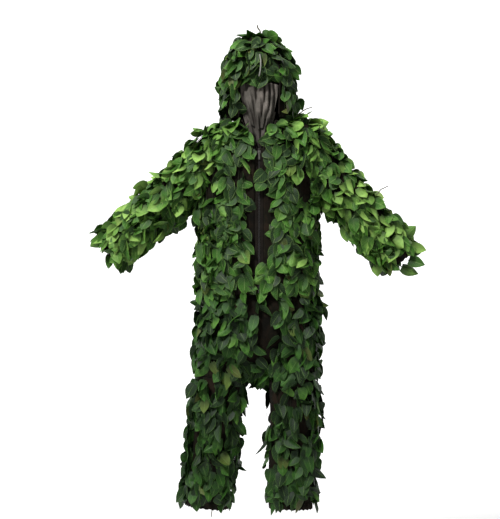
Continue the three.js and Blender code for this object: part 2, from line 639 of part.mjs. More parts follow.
const seatOvals = [
  { down: WAIST_DROP, halfWidth: WAIST_HALF_WIDTH, halfDepth: WAIST_HALF_DEPTH },
  { down: JACKET_LENGTH, halfWidth: WAIST_HALF_WIDTH, halfDepth: WAIST_HALF_DEPTH },
  { down: SEAT_LEAF_DROP, halfWidth: SEAT_HALF_WIDTH, halfDepth: SEAT_HALF_DEPTH },
  { down: HIP_DROP + HIP_RADIUS + OVERRUN, halfWidth: SEAT_HALF_WIDTH, halfDepth: SEAT_HALF_DEPTH },
];
const seatEnd = HIP_DROP + HIP_RADIUS + 10;
const seatClothTube = clothTube(seatOvals, WAIST_DROP + clothEnd, seatEnd);
const seatLeafTube = leafTube(seatOvals, SEAT_LEAF_DROP, seatEnd);

for (const { side, sideName, splay } of sides) {
  const group = legGroup(side, splay);
  group.updateMatrixWorld(true);
  const round = rodX(HIP_RADIUS - JOINT_GAP / 2, BIG, 0, 0).applyMatrix4(group.matrixWorld);
  const upper = new THREE.BoxGeometry(BIG, BIG, BIG).translate(0, 0, BIG / 2).applyMatrix4(group.matrixWorld);
  const kept = join(solid(round), solid(upper)).intersect(bySide[sideName]((side * SEAM_GAP) / 2));
  suit.add(
    piece(`trouser_seat_${sideName}`, seatClothTube.intersect(kept), cloth),
    leafPiece(`trouser_seat_leaves_${sideName}`, seatLeafTube.intersect(kept), trouserLeaf),
  );
}

const waist = elasticHem(seatOvals, WAIST_DROP, -1);
suit.add(piece("waistband_casing", waist.casing, cloth), piece("waist_elastic", waist.band, elastic));

// Fly facing inside the front seam, and the saddle strip between the legs.
const flyTop = WAIST_DROP + clothEnd + 6;
const inFly = -CLOTH - SEAM_GAP;
const fly = solid(filled(seatOvals, inFly, flyTop, flyTop + FLY_LENGTH))
  .subtract(solid(filled(seatOvals, inFly - CLOTH, WAIST_DROP, seatEnd)))
  .intersect(block(-FLY_HALF_WIDTH, FLY_HALF_WIDTH, -BIG, 0, -BIG, BIG));
suit.add(piece("fly_facing", fly, cloth));

const saddleRadius = HIP_RADIUS - 4 * JOINT_GAP;
const saddleTop = -HIP_DROP - saddleRadius * 0.55;
const saddleBar = (radius) => solid(rodX(radius, 2 * GUSSET_HALF_WIDTH, 0, -HIP_DROP));
const saddle = saddleBar(saddleRadius)
  .subtract(solid(rodX(saddleRadius - CLOTH, BIG, 0, -HIP_DROP)))
  .intersect(halfSpace.below(saddleTop));
suit.add(piece("crotch_gusset", saddle, cloth));

export default suit;
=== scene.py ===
import math

import bpy
import numpy as np
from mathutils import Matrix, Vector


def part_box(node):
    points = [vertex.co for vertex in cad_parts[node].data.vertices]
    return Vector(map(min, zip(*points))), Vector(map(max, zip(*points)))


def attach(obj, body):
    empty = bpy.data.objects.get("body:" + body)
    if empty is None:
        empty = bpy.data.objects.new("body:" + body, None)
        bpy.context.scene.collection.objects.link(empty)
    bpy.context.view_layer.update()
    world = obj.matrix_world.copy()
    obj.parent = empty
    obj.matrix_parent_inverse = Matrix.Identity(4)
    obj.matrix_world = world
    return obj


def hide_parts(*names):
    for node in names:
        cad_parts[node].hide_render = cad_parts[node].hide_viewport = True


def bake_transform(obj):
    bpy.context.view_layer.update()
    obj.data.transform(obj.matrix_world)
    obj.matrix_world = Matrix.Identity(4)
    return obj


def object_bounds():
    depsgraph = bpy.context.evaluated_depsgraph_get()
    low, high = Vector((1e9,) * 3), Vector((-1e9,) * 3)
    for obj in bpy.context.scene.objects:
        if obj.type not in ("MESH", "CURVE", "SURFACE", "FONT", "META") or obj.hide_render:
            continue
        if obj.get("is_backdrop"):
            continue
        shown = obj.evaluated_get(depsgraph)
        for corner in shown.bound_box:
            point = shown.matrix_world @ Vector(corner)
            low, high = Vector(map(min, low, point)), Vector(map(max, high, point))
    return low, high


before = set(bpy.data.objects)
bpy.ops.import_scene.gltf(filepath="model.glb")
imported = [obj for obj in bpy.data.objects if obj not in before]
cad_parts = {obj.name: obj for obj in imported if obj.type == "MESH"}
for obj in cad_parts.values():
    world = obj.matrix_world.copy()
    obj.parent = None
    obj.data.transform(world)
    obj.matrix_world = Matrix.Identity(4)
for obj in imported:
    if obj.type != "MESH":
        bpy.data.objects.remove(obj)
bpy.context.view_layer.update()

# ---- Jacket shell ----
# The jacket is cut from thin brown and black camouflage cloth in three panels, two fronts and a
# back, sewn at the sides. Its fronts stop short of the zip and it opens in a V at the neck.

CORNER = 2 / 2.4


def signed_power(value, power):
    """The value's size raised to the power, with the value's own sign."""
    return np.sign(value) * np.abs(value) ** power


def eased(x, xs, ys):
    """Cubic through the points (xs, ys), whose slope at each point is the mean of the slopes beside it."""
    slopes = np.gradient(ys, xs)
    i = np.clip(np.searchsorted(xs, x) - 1, 0, len(xs) - 2)
    h = xs[i + 1] - xs[i]
    t = np.clip((x - xs[i]) / h, 0, 1)
    start = (2 * t**3 - 3 * t**2 + 1) * ys[i] + (t**3 - 2 * t**2 + t) * h * slopes[i]
    return start + (3 * t**2 - 2 * t**3) * ys[i + 1] + (t**3 - t**2) * h * slopes[i + 1]


def unit(vectors):
    return vectors / np.maximum(np.linalg.norm(vectors, axis=-1, keepdims=True), 1e-9)


class Tube:
    """A garment tube that hangs from a pivot, tilted about Y. Its table rows are (drop, half-width,
    half-depth) and its domes are (drop, reach), where it closes like an ellipse. A crease row is
    (waves round, waves per metre down, phase, height)."""

    def __init__(self, pivot, tilt, table, domes=(), creases=()):
        self.pivot = np.array(pivot, float)
        c, s = math.cos(tilt), math.sin(tilt)
        self.turn = np.array([[c, 0, s], [0, 1, 0], [-s, 0, c]])
        self.table = np.array(table, float).T
        self.domes, self.creases = domes, creases

    def size(self, drop):
        """Half-width and half-depth at a drop, each times sqrt(1 - t^2) where t is the share of a dome."""
        width, depth = (eased(drop, self.table[0], self.table[k]) for k in (1, 2))
        for at, reach in self.domes:
            shrink = np.sqrt(np.maximum(1 - np.clip((drop - at) / reach, 0, 1) ** 2, 1e-6))
            width, depth = width * shrink, depth * shrink
        return width, depth

    def at(self, angle, drop):
        """Oval point x = width * sin(angle)^CORNER, y = -depth * cos(angle)^CORNER, plus the creases."""
        angle, drop = np.broadcast_arrays(np.asarray(angle, float), np.asarray(drop, float))
        width, depth = self.size(drop)
        rise = sum(
            (h * np.sin(a * angle + b * drop + p) for a, b, p, h in self.creases),
            np.zeros_like(drop),
        )
        x = (width + rise) * signed_power(np.sin(angle), CORNER)
        y = -(depth + rise) * signed_power(np.cos(angle), CORNER)
        return np.stack([x, y, -drop], -1) @ self.turn.T + self.pivot

    def placed(self, angle, drop):
        """Points, the unit normal down x round, and the unit direction down the cloth."""
        step = 2e-3
        round_it = self.at(angle + step, drop) - self.at(angle - step, drop)
        down = self.at(angle, drop + step) - self.at(angle, drop - step)
        return self.at(angle, drop), unit(np.cross(down, round_it)), unit(down)

    def holds(self, points, ease=0.0):
        """Which points lie inside the tube, grown by ease."""
        local = (points - self.pivot) @ self.turn
        drop = -local[..., 2]
        width, depth = self.size(drop)
        lowest = min([self.table[0][0]] + [at + reach for at, reach in self.domes])
        highest = max([self.table[0][-1]] + [at + reach for at, reach in self.domes])
        share = (np.abs(local[..., 0]) / np.maximum(width + ease, 1e-4)) ** 2.4
        share = share + (np.abs(local[..., 1]) / np.maximum(depth + ease, 1e-4)) ** 2.4
        return (share < 1) & (drop > lowest) & (drop < highest)

    def axis(self, drop):
        return tuple(self.pivot + self.turn @ np.array([0, 0, -drop]))


def creases(seed, height):
    """Five creases of random direction and phase, each a third of height."""
    rng = np.random.default_rng(seed)
    return [(rng.integers(1, 6), rng.uniform(-26, 26), rng.uniform(0, 6.3), height / 3) for _ in range(5)]


def grid_quads(rows, cols, wrap):
    """Corners of each cell of a grid of points, ordered so that it faces down x round."""
    i = np.arange(rows - 1)[:, None] * cols
    j = np.arange(cols if wrap else cols - 1)[None]
    a, b = i + j, i + (j + 1) % cols
    return np.stack([a, a + cols, b + cols, b], -1).reshape(-1, 4)


def sheet_part(points, thickness, wrap, material):
    """A closed sheet: the grid as its outer face, the same grid moved in along its normals as its
    inner face, and a rim of faces at each open edge. Its UV map holds metres across and down."""
    rows, cols = points.shape[:2]
    down = np.gradient(points, axis=0)
    if wrap:
        across = np.roll(points, -1, 1) - np.roll(points, 1, 1)
    else:
        across = np.gradient(points, axis=1)
    inner = points - unit(np.cross(down, across)) * thickness
    n = rows * cols
    outside = grid_quads(rows, cols, wrap)
    j = np.arange(cols if wrap else cols - 1)
    k = (j + 1) % cols
    last = n - cols
    rims = [np.stack([j, k, k + n, j + n], -1), np.stack([k, j, j + n, k + n], -1) + last]
    if not wrap:
        a = np.arange(rows - 1) * cols
        b = a + cols - 1
        rims.append(np.stack([a + cols, a, a + n, a + cols + n], -1))
        rims.append(np.stack([b, b + cols, b + cols + n, b + n], -1))
    long = np.linalg.norm(np.diff(points, axis=0), axis=-1).mean(1)
    wide = np.linalg.norm(np.diff(points, axis=1), axis=-1).mean(0)
    v, u = np.meshgrid(np.r_[0, np.cumsum(long)], np.r_[0, np.cumsum(wide)], indexing="ij")
    uv = np.stack([u, v], -1).reshape(-1, 2)
    return {
        "points": np.concatenate([points.reshape(-1, 3), inner.reshape(-1, 3)]),
        "quads": np.concatenate([outside, outside[:, ::-1] + n, *rims]),
        "uv": np.concatenate([uv, uv]),
        "material": material,
        "flat": (float(wide.sum()), float(long.sum())),
    }


def piece(name, *parts):
    """One named mesh of several parts, each with its own material, UV map and tone attribute."""
    start, points, quads, uvs, tones, slots = 0, [], [], [], [], []
    mesh = bpy.data.meshes.new(name)
    for slot, part in enumerate(parts):
        mesh.materials.append(part["material"])
        count = len(part["points"])
        points.append(part["points"])
        quads.append(part["quads"] + start)
        uvs.append(part.get("uv", np.zeros((count, 2))))
        tones.append(part.get("tone", np.full((count, 4), 0.5)))
        slots.append(np.full(len(part["quads"]), slot))
        start += count
    quads = np.concatenate(quads)
    mesh.from_pydata(np.concatenate(points), [], quads)
    uv = np.concatenate(uvs)[quads.ravel()]
    mesh.uv_layers.new(name="Cloth").data.foreach_set("uv", uv.astype(np.float32).ravel())
    tone = mesh.attributes.new("tone", "FLOAT_COLOR", "POINT")
    tone.data.foreach_set("color", np.concatenate(tones).astype(np.float32).ravel())
    mesh.polygons.foreach_set("material_index", np.concatenate(slots).astype(np.int32))
    mesh.polygons.foreach_set("use_smooth", np.ones(len(quads), bool))
    mesh.update()
    made = bpy.data.objects.new(name, mesh)
    bpy.context.scene.collection.objects.link(made)
    return made


class Look:
    """A material in the making, whose methods add nodes and give back their output sockets."""

    def __init__(self, name, **values):
        self.material = bpy.data.materials.new(name)
        self.material.use_nodes = True
        self.nodes, self.links = self.material.node_tree.nodes, self.material.node_tree.links
        self.shader = self.nodes["Principled BSDF"]
        self.fill(self.shader, values)

    def feed(self, socket, value):
        """Sets an input to a number or a colour, or links a socket to it."""
        if isinstance(value, (int, float)):
            socket.default_value = value
        elif isinstance(value, tuple):
            socket.default_value = (*value, 1)
        elif value is not None:
            self.links.new(value, socket)

    def fill(self, node, values):
        """Feeds a node's inputs by name, with _ for a space."""
        for name, value in values.items():
            self.feed(node.inputs[name.replace("_", " ")], value)

    def node(self, kind, **values):
        made = self.nodes.new("ShaderNode" + kind)
        self.fill(made, values)
        return made

    def place(self):
        return self.node("TexCoord").outputs["Object"]

    def uv(self):
        node = self.node("UVMap")
        node.uv_map = "Cloth"
        return node.outputs["UV"]

    def axes(self, vector):
        return self.node("SeparateXYZ", Vector=vector).outputs

    def math(self, kind, a, b=None):
        node = self.node("Math")
        node.operation = kind
        for socket, value in zip(node.inputs, (a, b)):
            self.feed(socket, value)
        return node.outputs[0]

    def ranged(self, value, start, stop, first, last):
        """The value, brought from start and stop to first and last."""
        node = self.node("MapRange", Value=value, From_Min=start, From_Max=stop, To_Min=first, To_Max=last)
        return node.outputs["Result"]

    def noise(self, vector, scale, detail=3.0):
        return self.node("TexNoise", Vector=vector, Scale=scale, Detail=detail).outputs["Fac"]

    def wave(self, vector, scale, direction="X", distortion=0.0):
        node = self.node("TexWave", Vector=vector, Scale=scale, Distortion=distortion)
        node.bands_direction = direction
        return node.outputs["Fac"]

    def ramp(self, factor, stops):
        """A colour ramp whose stops are (position, (red, green, blue))."""
        node = self.node("ValToRGB", Fac=factor)
        elements = node.color_ramp.elements
        while len(elements) < len(stops):
            elements.new(0.5)
        for element, (position, colour) in zip(elements, stops):
            element.position = position
            element.color = (*colour, 1)
        return node.outputs["Color"]

    def mixed(self, factor, a, b, blend="MIX"):
        """Colours a and b, each a socket or a triple, mixed by the factor."""
        node = self.node("Mix")
        node.data_type = "RGBA"
        node.blend_type = blend
        for number, value in ((0, factor), (6, a), (7, b)):
            self.feed(node.inputs[number], value)
        return node.outputs[2]

    def bump(self, height, distance, strength):
        node = self.node("Bump", Height=height, Distance=distance, Strength=strength)
        self.fill(self.shader, {"Normal": node.outputs["Normal"]})


THREAD_GAP = (0.45, 0.45, 0.45)


def woven(name, stops, patch, pitch, faded, painted_shade=None):
    """Woven cloth: patches of colour from a noise; threads that lighten and raise it, the larger of
    two sine waves along the UV map, one each way; and rubbed areas from a second noise. Painted
    shade, if given, holds the heights where it is darkest and where it ends, its most share and its
    colour; it darkens the cloth towards the bottom, standing in for shadow."""
    look = Look(name, Roughness=0.95, Specular_IOR_Level=0.1)
    uv, place = look.uv(), look.place()
    threads = look.math("MAXIMUM", *(look.wave(uv, 0.314 / pitch, way, 0.4) for way in "XY"))
    colour = look.ramp(look.noise(place, patch), stops)
    colour = look.mixed(threads, look.mixed(1.0, colour, THREAD_GAP, "MULTIPLY"), colour)
    rubbed = look.math("MULTIPLY", look.noise(place, 31.0), 0.28)
    colour = look.mixed(rubbed, colour, faded)
    if painted_shade:
        # Painted shade: the colour is mixed towards a dark shadow colour below the given height.
        low, high, share, shadow_colour = painted_shade
        colour = look.mixed(look.ranged(look.axes(place)["Z"], low, high, share, 0.0), colour, shadow_colour)
    look.fill(look.shader, {"Base Color": colour})
    look.bump(threads, 0.0006, 0.6)
    return look.material


BLACK, EARTH = (0.003, 0.003, 0.002), (0.011, 0.007, 0.004)
OLIVE, BROWN = (0.005, 0.006, 0.003), (0.019, 0.012, 0.007)

patches = [(0.36, BLACK), (0.46, EARTH), (0.56, OLIVE), (0.66, BROWN)]
cloth_look = woven("camouflage cloth", patches, patch=17.0, pitch=0.0012, faded=(0.018, 0.014, 0.011))

CLOTH = 0.0012
ZIP_EDGE = 0.016
NECK_V = (0.014, 0.122, 0.062)

torso = Tube(
    (0, 0, 0),
    0,
    [
        (0.010, 0.080, 0.083),
        (0.038, 0.133, 0.101),
        (0.080, 0.183, 0.117),
        (0.122, 0.198, 0.1245),
        (0.400, 0.203, 0.1245),
        (0.640, 0.203, 0.1245),
    ],
    creases=creases(3, 0.004),
)


def front_edge(drop):
    """Half-width of the jacket's front opening: the zip's, wider in the V of the neck."""
    top, foot, wide = NECK_V
    return ZIP_EDGE + (wide - ZIP_EDGE) * np.clip((foot - drop) / (foot - top), 0, 1) ** 0.8


def edge_angle(tube, half_width, drop):
    """Angle from the front at which a tube's oval is that far from its middle."""
    return np.arcsin(np.clip(half_width / tube.size(drop)[0], 0, 1) ** (1 / CORNER))


def panel(tube, drops, first, last, columns):
    """A panel of a tube between two angles, each a number or one per drop."""
    share = np.linspace(0, 1, columns)[None]
    first = np.broadcast_to(first, drops.shape)[:, None]
    last = np.broadcast_to(last, drops.shape)[:, None]
    return sheet_part(tube.at(first + (last - first) * share, drops[:, None]), CLOTH, False, cloth_look)


def ring(tube, drops, columns=96):
    """A whole stretch of a tube."""
    angle = np.linspace(0, 2 * math.pi, columns, endpoint=False)[None]
    return sheet_part(tube.at(angle, drops[:, None]), CLOTH, True, cloth_look)


def attached(made, slot, replaced=(), ride=None, blend=None):
    """Hides the CAD nodes a piece stands for and parents it to its body; given a joint, bakes its transform.
    """
    if replaced:
        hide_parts(*replaced)
    if ride:
        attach(made, ride)
    if blend:
        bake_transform(made)


def sewn(name, part, replaced, rests_on, slot="base_cloth", held="hung", **moves):
    """A cloth piece that stands for CAD nodes."""
    made = piece(name, part)
    attached(made, slot, replaced, **moves)


jacket_drops = np.linspace(0.012, 0.640, 120)
jacket_edge = edge_angle(torso, front_edge(jacket_drops), jacket_drops)
quarter = math.pi / 2
for name, first, last, columns in (
    ("jacket_front_left", jacket_edge, quarter, 60),
    ("jacket_back_panel", quarter, 3 * quarter, 120),
    ("jacket_front_right", 3 * quarter, 4 * quarter - jacket_edge, 60),
):
    part = panel(torso, jacket_drops, first, last, columns)
    sewn(name + "_cloth", part, [name], "neck_seam_tape", ride="jacket")

# ---- Leaves of the jacket ----
# Leaves of printed polyester, about 60 mm long, are sewn by their stems to cords that run down the
# cloth. They hang to the left and right of each cord by turns and cover all but the zip.

STEM = 0.16
LEAF_T = np.array([-STEM, -0.02, 0.035, 0.16, 0.34, 0.54, 0.74, 0.90, 1.0])
LEAF_HALF = np.array([0.028, 0.04, 0.37, 0.49, 0.50, 0.45, 0.31, 0.135, 0.006])
LEAF_C = np.array([-1, -0.5, 0, 0.5, 1])
LEAF_THICK = 0.0006
DOWN = np.array([0, 0, -1.0])
CORD = 0.0011


def leaf_look(name, dark, light, pale, vein):
    """A printed leaf: two greens mixed leaf by leaf and by painted light from the tone's third channel,
    a pale midrib and side veins drawn from the UV map, a mottled print, painted shade towards the
    stem end, where the leaf above shades it, a painted highlight on the edges and a fine weave."""
    look = Look(name, Specular_IOR_Level=0.25)
    tone = look.node("Attribute")
    tone.attribute_name = "tone"
    own, hue, lit = look.node("SeparateColor", Color=tone.outputs["Color"]).outputs
    uv = look.uv()
    across, down, _ = look.axes(uv)
    mottle = look.noise(look.place(), 75.0, 4.0)
    # Painted light: lit, the tone's third channel, is the painted light of the leaf's piece and facing; with
    # the leaf's own random share it picks the green, up to the pale one for the most lit.
    share = look.math("ADD", look.math("MULTIPLY", own, 0.84), look.math("MULTIPLY", lit, 0.75))
    share = look.math("SUBTRACT", share, 0.15)
    spots = look.math("MULTIPLY", look.math("SUBTRACT", mottle, 0.5), 0.55)
    colour = look.ramp(look.math("ADD", share, spots), [(0.0, dark), (0.55, light), (1.0, pale)])
    yellowed = look.math("MULTIPLY", look.math("GREATER_THAN", hue, 0.965), 0.28)
    colour = look.mixed(yellowed, colour, (0.20, 0.19, 0.045))
    side = look.math("ABSOLUTE", look.math("SUBTRACT", across, 0.5))
    midrib = look.math("LESS_THAN", side, 0.022)
    slant = look.math("SUBTRACT", look.math("MULTIPLY", down, 7.0), look.math("MULTIPLY", side, 5.0))
    branch = look.math("LESS_THAN", look.math("FRACT", slant), 0.10)
    veins = look.math("MAXIMUM", midrib, look.math("MULTIPLY", branch, 0.45))
    colour = look.mixed(look.math("MULTIPLY", veins, 0.42), colour, vein)
    # Painted highlight: a pale rim along each leaf's edges.
    edge = look.math("MULTIPLY", look.math("GREATER_THAN", side, 0.455), 0.35)
    colour = look.mixed(edge, colour, pale)
    # Painted shade: the leaf is darkened towards its stem end, where the leaf above would shade it.
    colour = look.mixed(look.ranged(down, 0.05, 0.68, 0.90, 0.0), colour, dark)
    worn = look.math("ADD", look.math("MULTIPLY", mottle, 0.3), 0.42)
    look.fill(look.shader, {"Base Color": colour, "Roughness": worn})
    threads = look.math("MULTIPLY", look.wave(uv, 24.0), 0.12)
    look.bump(look.math("SUBTRACT", threads, veins), 0.0008, 0.7)
    return look.material


jacket_leaf_look = leaf_look(
    "jacket leaf", dark=(0.004, 0.019, 0.002), light=(0.038, 0.130, 0.010), pale=(0.215, 0.375, 0.075),
    vein=(0.29, 0.42, 0.14),
)
JACKET = {"spacing": 0.021, "size": (0.053, 0.044), "material": jacket_leaf_look}
string_look = woven(
    "leaf cord", [(0.3, (0.008, 0.011, 0.006)), (0.7, (0.022, 0.026, 0.014))], patch=60.0, pitch=0.0008,
    faded=(0.05, 0.05, 0.035),
)


def turned(a, b, angle):
    """Two unit vectors at right angles, turned from the first towards the second."""
    return a * np.cos(angle) + b * np.sin(angle), b * np.cos(angle) - a * np.sin(angle)


def by_turns(count):
    """1 and -1 by turns."""
    return np.where(np.arange(count) % 2, 1.0, -1.0)


def hung_leaves(rng, root, out, along, side, size, lift, turn, light, material, flatness=1.0):
    """Leaves of a grid of points each: t runs from stem to tip along the hanging direction and c from
    edge to edge. Across is the half-width at t times c. Rise is a fold in |c|, a bend in t squared
    and a wave in t. The hanging direction is gravity and the cord's own, kept off the cloth. The
    back is the same grid, moved in by LEAF_THICK but for its rim, which closes on the front's."""
    n = len(root)
    hang = unit(0.75 * DOWN + 0.55 * along)
    least = (lift * rng.uniform(0.4, 1.5, n) + 0.45 * (rng.uniform(0, 1, n) < 0.13))[:, None]
    into = (hang * out).sum(-1, keepdims=True)
    hang = unit(hang + out * np.maximum(least - into, 0))
    face = unit(out - hang * (out * hang).sum(-1, keepdims=True) + 1e-6)
    across = np.cross(face, hang)
    hang, across = turned(hang, across, (side * turn + rng.normal(0, 0.50, n))[:, None])
    face, across = turned(face, across, (side * 0.10 + rng.normal(0, 0.66 * flatness, n))[:, None])
    long = (size[0] * rng.uniform(0.76, 1.16, n))[:, None, None]
    wide = (size[1] * rng.uniform(0.84, 1.18, n))[:, None, None]
    t, c = LEAF_T[None, :, None], LEAF_C[None, None, :]
    half = LEAF_HALF[None, :, None]
    lobe = 0.085 * c**2 * np.exp(-((t - 0.04) ** 2) / 0.006)
    u = long * (t - lobe)
    v = wide * half * c
    fold = rng.normal(-0.22, 0.42, n)[:, None, None]
    bend = rng.normal(-0.10, 0.13, n)[:, None, None] * flatness
    phase = rng.uniform(0, 6.3, n)[:, None, None]
    rise = fold * np.abs(v) + bend * long * np.maximum(t, 0) ** 2
    rise = rise + 0.045 * wide * c * np.sin(7 * t + phase) * half * 2
    points = root[:, None, None] + hang[:, None, None] * (u + STEM * long)[..., None]
    points = points + across[:, None, None] * v[..., None] + face[:, None, None] * rise[..., None]
    rows, cols = len(LEAF_T), len(LEAF_C)
    inward = np.zeros((rows, cols, 1))
    inward[1:-1, 1:-1] = LEAF_THICK
    points = np.stack([points, points - face[:, None, None] * inward], 1)
    cell = grid_quads(rows, cols, False)
    cell = np.concatenate([cell, cell[:, ::-1] + rows * cols])
    quads = (cell[None] + (np.arange(n) * 2 * rows * cols)[:, None, None]).reshape(-1, 4)
    uv = np.stack(np.broadcast_arrays((c + 1) / 2, (t + STEM) / (1 + STEM)), -1)
    uv = np.broadcast_to(uv, (n, 2, rows, cols, 2)).reshape(-1, 2)
    # The tone holds two random numbers for each leaf and, third, the painted light given as light.
    tone = np.stack([rng.uniform(0, 1, n), rng.uniform(0, 1, n), light + np.zeros(n), np.ones(n)], -1)
    tone = np.repeat(tone, 2 * rows * cols, axis=0)
    return {"points": points.reshape(-1, 3), "quads": quads, "uv": uv, "tone": tone, "material": material}


def cord_part(paths, radius, material):
    """Four-sided cords along an array of paths, cord x point x 3."""
    along = unit(np.gradient(paths, axis=1))
    side = unit(np.cross(along, np.array([0.31, 0.77, 0.55])))
    other = np.cross(along, side)
    around = [side, other, -side, -other]
    points = paths[:, :, None] + radius * np.stack(around, 2)
    count, rows = paths.shape[:2]
    cell = grid_quads(rows, 4, True)[:, ::-1]
    quads = (cell[None] + (np.arange(count) * rows * 4)[:, None, None]).reshape(-1, 4)
    uv = np.zeros((count, rows, 4, 2))
    uv[..., 0] = np.arange(4) * 0.001
    uv[..., 1] = np.arange(rows)[None, :, None] * 0.01
    return {"points": points.reshape(-1, 3), "quads": quads, "uv": uv.reshape(-1, 2), "material": material}


def held_in(value, start, reach):
    """The value up to start, and past that start + reach * tanh((value - start) / reach)."""
    past = np.maximum(value - start, 0)
    return np.minimum(value, start) + reach * np.tanh(past / reach)


STAND = 0.005
DEEPEST = 0.136
SQUEEZE = 0.016


def wander(drop, columns):
    """How far round each string of leaves has strayed at a drop: a sine of its own phase."""
    return 0.7 / columns * np.sin(drop * 14 + np.arange(columns)[:, None] * 9)


def leafed(name, tube, span, columns, seed, keep, spacing, size, material, light=0.0, lift=0.16, turn=0.42):
    """A piece of leaves strung down a tube between two drops, in an under layer and an upper one.
    Keep says which roots stay, from their points and angles, and patches of two crossed sine waves
    have fewer. Light is painted light, or painted shade where below zero, for the whole piece; more
    painted light is added where the leaves face up, and the under layer gets painted shade."""
    rng = np.random.default_rng(seed)
    roots, outs, downs, sides, tones = [], [], [], [], []
    count = int((span[1] - span[0]) / spacing)
    number = np.arange(columns)[:, None]
    for layer in (0, 1):
        own = 2 * math.pi * (np.arange(columns) + 0.26 * layer + rng.normal(0, 0.07, columns)) / columns
        drop = span[0] + (np.arange(count)[None] + rng.uniform(0, 1, columns)[:, None]) * spacing
        drop = drop + rng.normal(0, 0.12 * spacing, drop.shape)
        angle = own[:, None] + wander(drop, columns)
        side = np.where((np.arange(count)[None] + number) % 2, 1.0, -1.0) + 0 * drop
        drop, angle, side = np.clip(drop, span[0], span[1]).ravel(), angle.ravel(), side.ravel()
        root, out, down = tube.placed(angle, drop)
        x, y, z = root.T
        thin = np.sin(41 * x + 3 + seed) * np.sin(33 * z + 1) + np.sin(29 * (x + y) - 23 * z + seed) > 0.85
        kept = keep(root, angle, drop, rng) & ~(thin & (rng.uniform(0, 1, len(root)) < 0.70))
        root, out, down, side = root[kept], out[kept], down[kept], side[kept]
        stand = STAND + 0.006 * layer + rng.uniform(0, 0.004, len(root))
        roots.append(root + out * stand[:, None])
        outs.append(out)
        downs.append(down)
        sides.append(side)
        # Painted shade on the under layer, and painted light where a leaf faces up, painted shade where it
        # faces down.
        shade = 0.20 * (layer - 1) + 0.24 * np.maximum(out[:, 2], -0.3)
        tones.append(np.clip(light + shade + rng.normal(0, 0.12, len(root)), -0.5, 1))
    root, out, down, side, tone = map(np.concatenate, (roots, outs, downs, sides, tones))
    part = hung_leaves(rng, root, out, down, side, size, lift, turn, tone, material)
    x, y, z = part["points"].T
    part["points"] = np.stack([x, np.sign(y) * held_in(np.abs(y), DEEPEST, SQUEEZE), z], -1)
    drop = np.linspace(*span, 48)[None]
    angle = 2 * math.pi * number / columns + wander(drop, columns)
    root, out, _ = tube.placed(angle, drop + 0 * angle)
    kept = keep(root.reshape(-1, 3), angle.ravel(), (drop + 0 * angle).ravel(), rng).reshape(columns, -1)
    whole = kept.mean(1) > 0.55
    return piece(name, part, cord_part((root + out * 0.0022)[whole], CORD, string_look))


def sleeve_tube(side, top, drop_degrees, seed):
    """The sleeve of one side, which leaves its shoulder at that height and that far below level."""
    table = [(0, 0.076, 0.088), (0.12, 0.069, 0.078), (0.3, 0.063, 0.068), (0.54, 0.060, 0.056)]
    tilt = -side * math.radians(90 - drop_degrees)
    return Tube((side * 0.162, 0, top), tilt, table, domes=[(0, -0.080)], creases=creases(seed, 0.005))


sleeves = {"left": sleeve_tube(1, -0.097, 49.65, 11), "right": sleeve_tube(-1, -0.138, 42.15, 12)}
STRIP_DROPS = (0.05, 0.13, 0.22, 0.30, 0.50)
STRIP_MARGINS = (-0.008, -0.012, -0.006, 0.000, 0.006)


def on_jacket(root, angle, drop, rng):
    """Roots clear of the zip, of the V of the neck and of the sleeves, thinner by the armholes."""
    x, y = root[:, 0], root[:, 1]
    front = y < 0
    strip = front_edge(drop) + np.interp(drop, STRIP_DROPS, STRIP_MARGINS)
    kept = ~(front & (drop < 0.585) & (np.abs(x - 0.003) < strip))
    for tube in sleeves.values():
        kept &= ~tube.holds(root, -0.012)
    armhole = front & (np.abs(x) > 0.150) & (np.abs(x) < 0.190) & (drop > 0.14) & (drop < 0.30)
    return kept & ~(armhole & (rng.uniform(0, 1, len(root)) < 0.8))


leaf_torso = Tube((-0.005, 0, 0), 0, torso.table.T, creases=torso.creases)
made = leafed("jacket_leaf_rows", leaf_torso, (0.020, 0.632), 24, 21, on_jacket, light=0.05, **JACKET)
covered = ["jacket_back_leaves", "jacket_front_leaves_left", "jacket_front_leaves_right"]
attached(made, "jacket_leaf", covered, ride="jacket")

# ---- Sleeves ----
# Each sleeve is a tapering tube of the same cloth, set into a rounded shoulder and covered in leaves
# to the cuff. A hem there is folded over elastic, which gathers it round the wrist.

SLEEVE_SPLIT = 0.170
CUFF_DROP = {"left": 0.553, "right": 0.523}
HEM_THICK = 0.006

elastic_look = woven(
    "elastic", [(0.3, (0.010, 0.009, 0.008)), (0.7, (0.022, 0.020, 0.018))], patch=120.0, pitch=0.0009,
    faded=(0.04, 0.04, 0.035),
)


def dressed(node, look):
    """Gives a CAD node that keeps its shape a material of its own."""
    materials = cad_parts[node].data.materials
    materials.clear()
    materials.append(look)


